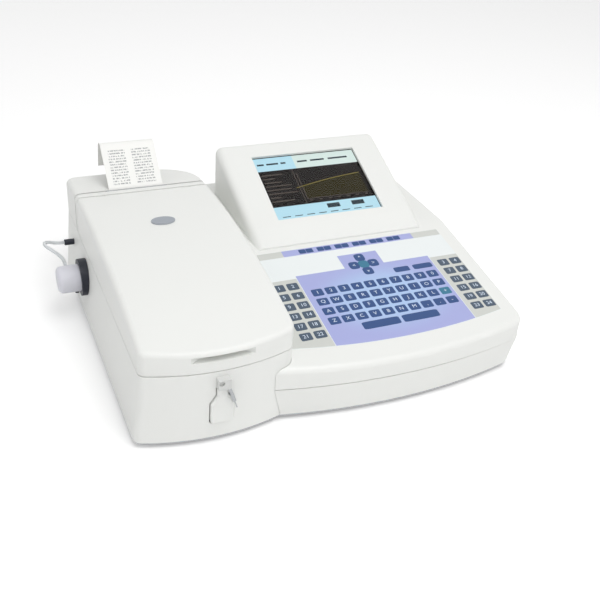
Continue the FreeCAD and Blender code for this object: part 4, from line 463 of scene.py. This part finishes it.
def mapped(made, name, values):
    """Gives a piece a map of the deck or the strip, one pair of millimetres for each point."""
    layer = made.data.uv_layers.new(name=name)
    corners = np.empty(len(made.data.loops), int)
    made.data.loops.foreach_get("vertex_index", corners)
    layer.data.foreach_set("uv", values[corners].astype(np.float32).ravel())


def lettering(place, marks, size, foot, rise):
    """Single characters as flat meshes, each centred on its spot."""
    made = []
    for character, (x, up) in marks:
        words = bpy.data.curves.new("character", "FONT")
        words.body = character
        words.size = size
        words.align_x = "CENTER"
        words.align_y = "CENTER"
        words.resolution_u = LEGEND_STEPS
        words.extrude = rise / 2
        shown = bpy.data.objects.new("character", words)
        mesh = bpy.data.meshes.new_from_object(shown)
        flat = np.empty(len(mesh.vertices) * 3)
        mesh.vertices.foreach_get("co", flat)
        flat = flat.reshape(-1, 3)
        made.append((place(x + flat[:, 0], up + flat[:, 1], foot + rise / 2 + flat[:, 2]),
                     [p.vertices[:] for p in mesh.polygons]))
        bpy.data.objects.remove(shown)
        bpy.data.curves.remove(words)
        bpy.data.meshes.remove(mesh)
    return joined(made)


# Keyboard film with its printed areas, keys and legends
def build_film(back):
    """The film, with a bowed lower edge, and its violet and grey areas as thin plates in its face."""
    film = plate(deck, FILM_LEFT, FILM_RIGHT, film_edge(0), FILM_TOP, FILM_BACK, FILM_FACE, FILM_STEPS)
    piece("film_sheet", film, SLOTS["keyboard_film"], stands_for=["keyboard_overlay"])
    low, top = film_edge(PRINT_INSET), FILM_TOP - TOP_GAP
    violet = joined([
        plate(deck, PANEL_LEFT, PANEL_RIGHT, low, PANEL_TOP, back, PRINT_FACE, PANEL_STEPS),
        plate(deck, ARROW_LEFT, ARROW_RIGHT, PANEL_TOP, ARROW_TOP, back, PRINT_FACE),
        plate(deck, PANEL_LEFT, PANEL_RIGHT, STRIP_LOW, top, back, PRINT_FACE),
    ])
    area = piece("violet_print", violet, VIOLET)
    spots = violet[0] / MM
    slope = (spots[:, 1] - DECK_FRONT) / math.cos(math.radians(DECK_TILT))
    mapped(area, "deck", np.column_stack([spots[:, 0], slope]))
    first, last = FILM_LEFT + SIDE_GAP, FILM_RIGHT - SIDE_GAP
    grey = [plate(deck, left, right, low, PAD_TOP, back, PRINT_FACE, PAD_STEPS)
            for left, right in ((first, PANEL_LEFT - PAD_GAP), (PANEL_RIGHT + PAD_GAP, last))]
    grey += [plate(deck, left, right, STRIP_LOW, top, back, PRINT_FACE)
             for left, right in ((first, PANEL_LEFT), (PANEL_RIGHT, last))]
    piece("grey_print", joined(grey), GREY_PRINT)


def build_keys(back):
    """The keys pressed out of the film, by colour, and the characters on them."""
    rise = KEY_RISE - back
    columns = KEY_MIDDLE + (np.arange(KEY_COLUMNS) - (KEY_COLUMNS - 1) / 2) * COLUMN_PITCH
    rows = TOP_ROW - np.arange(KEY_ROWS) * ROW_PITCH
    upper = TOP_ROW + ROW_PITCH
    letters = [(x, up) for up in rows for x in columns]
    teal = letters.pop(TEAL_KEY)
    bars = [(KEY_MIDDLE + way * BAR_SET, rows[-1] - ROW_PITCH) for way in (-1, 1)]
    arrows = [(KEY_MIDDLE + x * ARROW_REACH, ARROW_ROW + up * ARROW_REACH)
              for x, up in ((-1, 0), (1, 0), (0, -1), (0, 1))]
    short = [(x + way * STRIP_SPREAD, (STRIP_LOW + FILM_TOP) / 2)
             for x in np.linspace(*STRIP_KEYS, STRIP_PAIRS) for way in (-1, 1)]
    wide = [keys(deck, [(KEY_MIDDLE + column * COLUMN_PITCH, upper)], share * KEY_WIDE, UPPER_DEEP,
                 back, rise, UPPER_CORNER) for column, share in UPPER_KEYS]
    blue = joined([
        keys(deck, letters, KEY_WIDE, KEY_DEEP, back, rise),
        keys(deck, bars, BAR_WIDE, KEY_DEEP, back, rise, BAR_CORNER, BAR_AROUND),
        keys(deck, arrows, ARROW_SIZE, ARROW_SIZE, back, rise, ARROW_CORNER),
        *wide,
        keys(deck, short, STRIP_WIDE, STRIP_DEEP, back, rise),
    ])
    piece("blue_keys", blue, KEY_BLUE)
    teal_pair = joined([
        keys(deck, [teal], KEY_WIDE, KEY_DEEP, back, rise),
        keys(deck, [(KEY_MIDDLE, ARROW_ROW)], ARROW_SIZE, ARROW_SIZE, back, rise, ARROW_CORNER),
    ])
    piece("teal_keys", teal_pair, KEY_TEAL)
    side = [(x, upper - row * ROW_PITCH) for row in range(PAD_ROWS) for x in (*LEFT_PAD, *RIGHT_PAD)]
    piece("grey_keys", keys(deck, side, KEY_WIDE, KEY_DEEP, back, rise), KEY_GREY)

    marks = list(zip(LETTER_MARKS, letters))
    marks += [(str(n + 1), spot) for n, spot in enumerate(side)]
    marks += [*zip(ARROW_MARKS, arrows), (TEAL_MARK, teal)]
    legends = lettering(deck, marks, LEGEND_SIZE, KEY_RISE - LEGEND_SINK, LEGEND_RISE)
    piece("key_legends", legends, LEGEND)


# Screen
def trace_height(x):
    """The trace: a straight climb from left to right with half a sine wave's swell on it."""
    share = (x - TRACE_LEFT) / (TRACE_RIGHT - TRACE_LEFT)
    return TRACE_LOW + TRACE_CLIMB * share + TRACE_SWELL * np.sin(share * np.pi)


def lit_area(name, material, boxes, face=INK_FACE):
    """Flat boxes of one colour, sunk a little into the panel's face."""
    shape = joined([plate(screen, *box, PANEL_FACE - INK_SINK, face, INK_COLUMNS) for box in boxes])
    piece(name, shape, material)


def build_screen():
    """The panel behind the lens, with plain lit areas: two bars, a divided middle and a rising trace."""
    half_wide, half_tall = PANEL_WIDE / 2, PANEL_TALL / 2
    panel = plate(screen, -half_wide, half_wide, -half_tall, half_tall, PANEL_BACK, PANEL_FACE)
    piece("panel_glass", panel, SLOTS["display_panel"], stands_for=["lcd_panel"])

    bars = [(-VIEW_SIDE, HEADER_SPLIT, HEADER_LOW, VIEW_TOP), (-VIEW_SIDE, VIEW_SIDE, -VIEW_TOP, FOOTER_TOP)]
    lit_area("screen_bars", SKY, bars)
    lit_area("screen_header", MIST, [(HEADER_SPLIT, VIEW_SIDE, HEADER_LOW, VIEW_TOP)])
    fill = (PLOT_LEFT, TRACE_RIGHT, PLOT_LOW, lambda x: trace_height(x) - PLOT_GAP)
    lit_area("screen_fill", OLIVE, [fill], INK_FACE - INK_STEP)
    trace = (TRACE_LEFT, TRACE_RIGHT,
             lambda x: trace_height(x) - TRACE_HALF, lambda x: trace_height(x) + TRACE_HALF)
    lit_area("screen_trace", TRACE, [trace])
    feet = TEXT_TOP - TEXT_PITCH * np.arange(len(TEXT_REACHES))
    lines = [(TEXT_LEFT, TEXT_LEFT + reach, foot, foot + TEXT_TALL)
             for reach, foot in zip(TEXT_REACHES, feet)]
    ticks = [(x, x + TICK_WIDE, *TICK_EDGES) for x in np.linspace(*TICK_SPAN, TICK_COUNT)]
    lit_area("screen_marks", DIM, [*lines, *ticks, *FRAME_LINES])
    notes = [(x, x + NOTE_WIDE, *NOTE_EDGES) for x in NOTE_LEFTS]
    words = [(x, x + reach, *HEADER_EDGES) for x, reach in HEADER_WORDS]
    lit_area("screen_boxes", DARK, [*BUTTON_BOXES, *notes, *words], INK_FACE + INK_STEP)


# Paper
def build_paper():
    """The strip: its path is two straight runs, an arc and a tail.

    It is bowed by a parabola across its width, which comes in evenly along the run.
    """
    start, rim, fold = (np.array(p, float) for p in (PAPER_START, PAPER_RIM, PAPER_FOLD))
    lean = (fold - rim) / np.linalg.norm(fold - rim)
    centre = fold + FOLD_RADIUS * np.array([lean[1], -lean[0]])
    first = math.atan2(*(fold - centre)[::-1])
    turned = np.linspace(first, math.radians(FOLD_END), FOLD_STEPS)
    arc = centre + FOLD_RADIUS * np.column_stack([np.cos(turned), np.sin(turned)])
    away = np.array([math.sin(turned[-1]), -math.cos(turned[-1])])
    tail = arc[-1] + np.linspace(0, PAPER_TAIL, TAIL_STEPS)[1:, None] * away
    rising, leaning = np.linspace(start, rim, RISE_STEPS)[:-1], np.linspace(rim, fold, LEAN_STEPS)[:-1]
    path = np.concatenate([rising, leaning, arc, tail])
    run = np.concatenate([[0], np.cumsum(np.linalg.norm(np.diff(path, axis=0), axis=1))])
    across = np.linspace(-PAPER_WIDE / 2, PAPER_WIDE / 2, WIDTH_STEPS)
    coming_in = np.clip((run - BOW_START) / BOW_RUN, 0, 1)[:, None]
    bow = PAPER_BOW * coming_in * (1 - (2 * across / PAPER_WIDE) ** 2)
    x, y, z = np.broadcast_arrays(PAPER_MIDDLE + across, path[:, :1] - bow, path[:, 1:])
    points = np.stack([x, y, z], -1).reshape(-1, 3) * MM
    strip = piece("paper_sheet", (points, grid(len(path), len(across), False)), PAPER, "cover",
                  ["paper_strip"], closed=False)
    places = np.stack(np.broadcast_arrays(across + PAPER_WIDE / 2, run[:, None]), -1)
    mapped(strip, "strip", places.reshape(-1, 2))
    strip.data.polygons.foreach_set("use_smooth", np.ones(len(strip.data.polygons), bool))


# Floor, world and lights
def build_floor():
    """A pale square floor that keeps the object's soft shadow."""
    floor = finish("white_table", "#FBFBFB", 0.9, Specular_IOR_Level=0.05, Emission_Color=linear("#FFFFFF"))
    tree = floor.node_tree
    seen = add(tree, "ShaderNodeLightPath").outputs["Is Camera Ray"]
    veil = add(tree, "ShaderNodeMath", {0: seen, 1: FLOOR_VEIL}, operation="MULTIPLY")
    tree.links.new(veil.outputs["Value"], tree.nodes["Principled BSDF"].inputs["Emission Strength"])
    mesh = bpy.data.meshes.new("table")
    corners = [(x * FLOOR_HALF, y * FLOOR_HALF, 0) for x, y in ((-1, -1), (1, -1), (1, 1), (-1, 1))]
    mesh.from_pydata(corners, [], [(0, 1, 2, 3)])
    mesh.materials.append(floor)
    table = bpy.data.objects.new("table", mesh)
    bpy.context.collection.objects.link(table)


def build_light():
    """A white surround, which lights the object less than it shows, and three soft studio lamps."""
    world = bpy.data.worlds.new("studio")
    bpy.context.scene.world = world
    world.use_nodes = True
    tree = world.node_tree
    tree.nodes.clear()
    rays = add(tree, "ShaderNodeLightPath").outputs
    seen = rays["Is Camera Ray"]
    for ray in ("Is Glossy Ray", "Is Transmission Ray"):
        seen = add(tree, "ShaderNodeMath", {0: seen, 1: rays[ray]}, operation="MAXIMUM").outputs["Value"]
    strength = add(tree, "ShaderNodeMapRange", {"Value": seen, "To Min": ROOM_LIGHT, "To Max": 1.0})
    sky = add(tree, "ShaderNodeBackground",
              {"Color": linear("#FFFFFF"), "Strength": strength.outputs["Result"]})
    add(tree, "ShaderNodeOutputWorld", {"Surface": sky.outputs["Background"]})

    for name, spot, size, power in LAMPS:
        lamp = bpy.data.lights.new(name, "AREA")
        lamp.energy = power
        lamp.size = size
        holder = bpy.data.objects.new(name, lamp)
        holder.location = spot
        holder.rotation_euler = (Vector(LAMP_AIM) - Vector(spot)).to_track_quat("-Z", "Y").to_euler()
        bpy.context.collection.objects.link(holder)
    bpy.context.scene.view_settings.view_transform = "Standard"


place_camera()
for hose_name in HOSE_ROUTES:
    lay_hose(hose_name, SLOTS["hose_silicone"])
for subpart in frame["record"]["subparts"]:
    node = frame["nodes"][subpart["node"]]
    node.data.materials.clear()
    node.data.materials.append(SLOTS[subpart["material_slot"]])
key_foot = (FILM_FACE + FILM_BACK) / 2
build_film(key_foot)
build_keys(key_foot)
build_screen()
build_paper()
build_floor()
build_light()
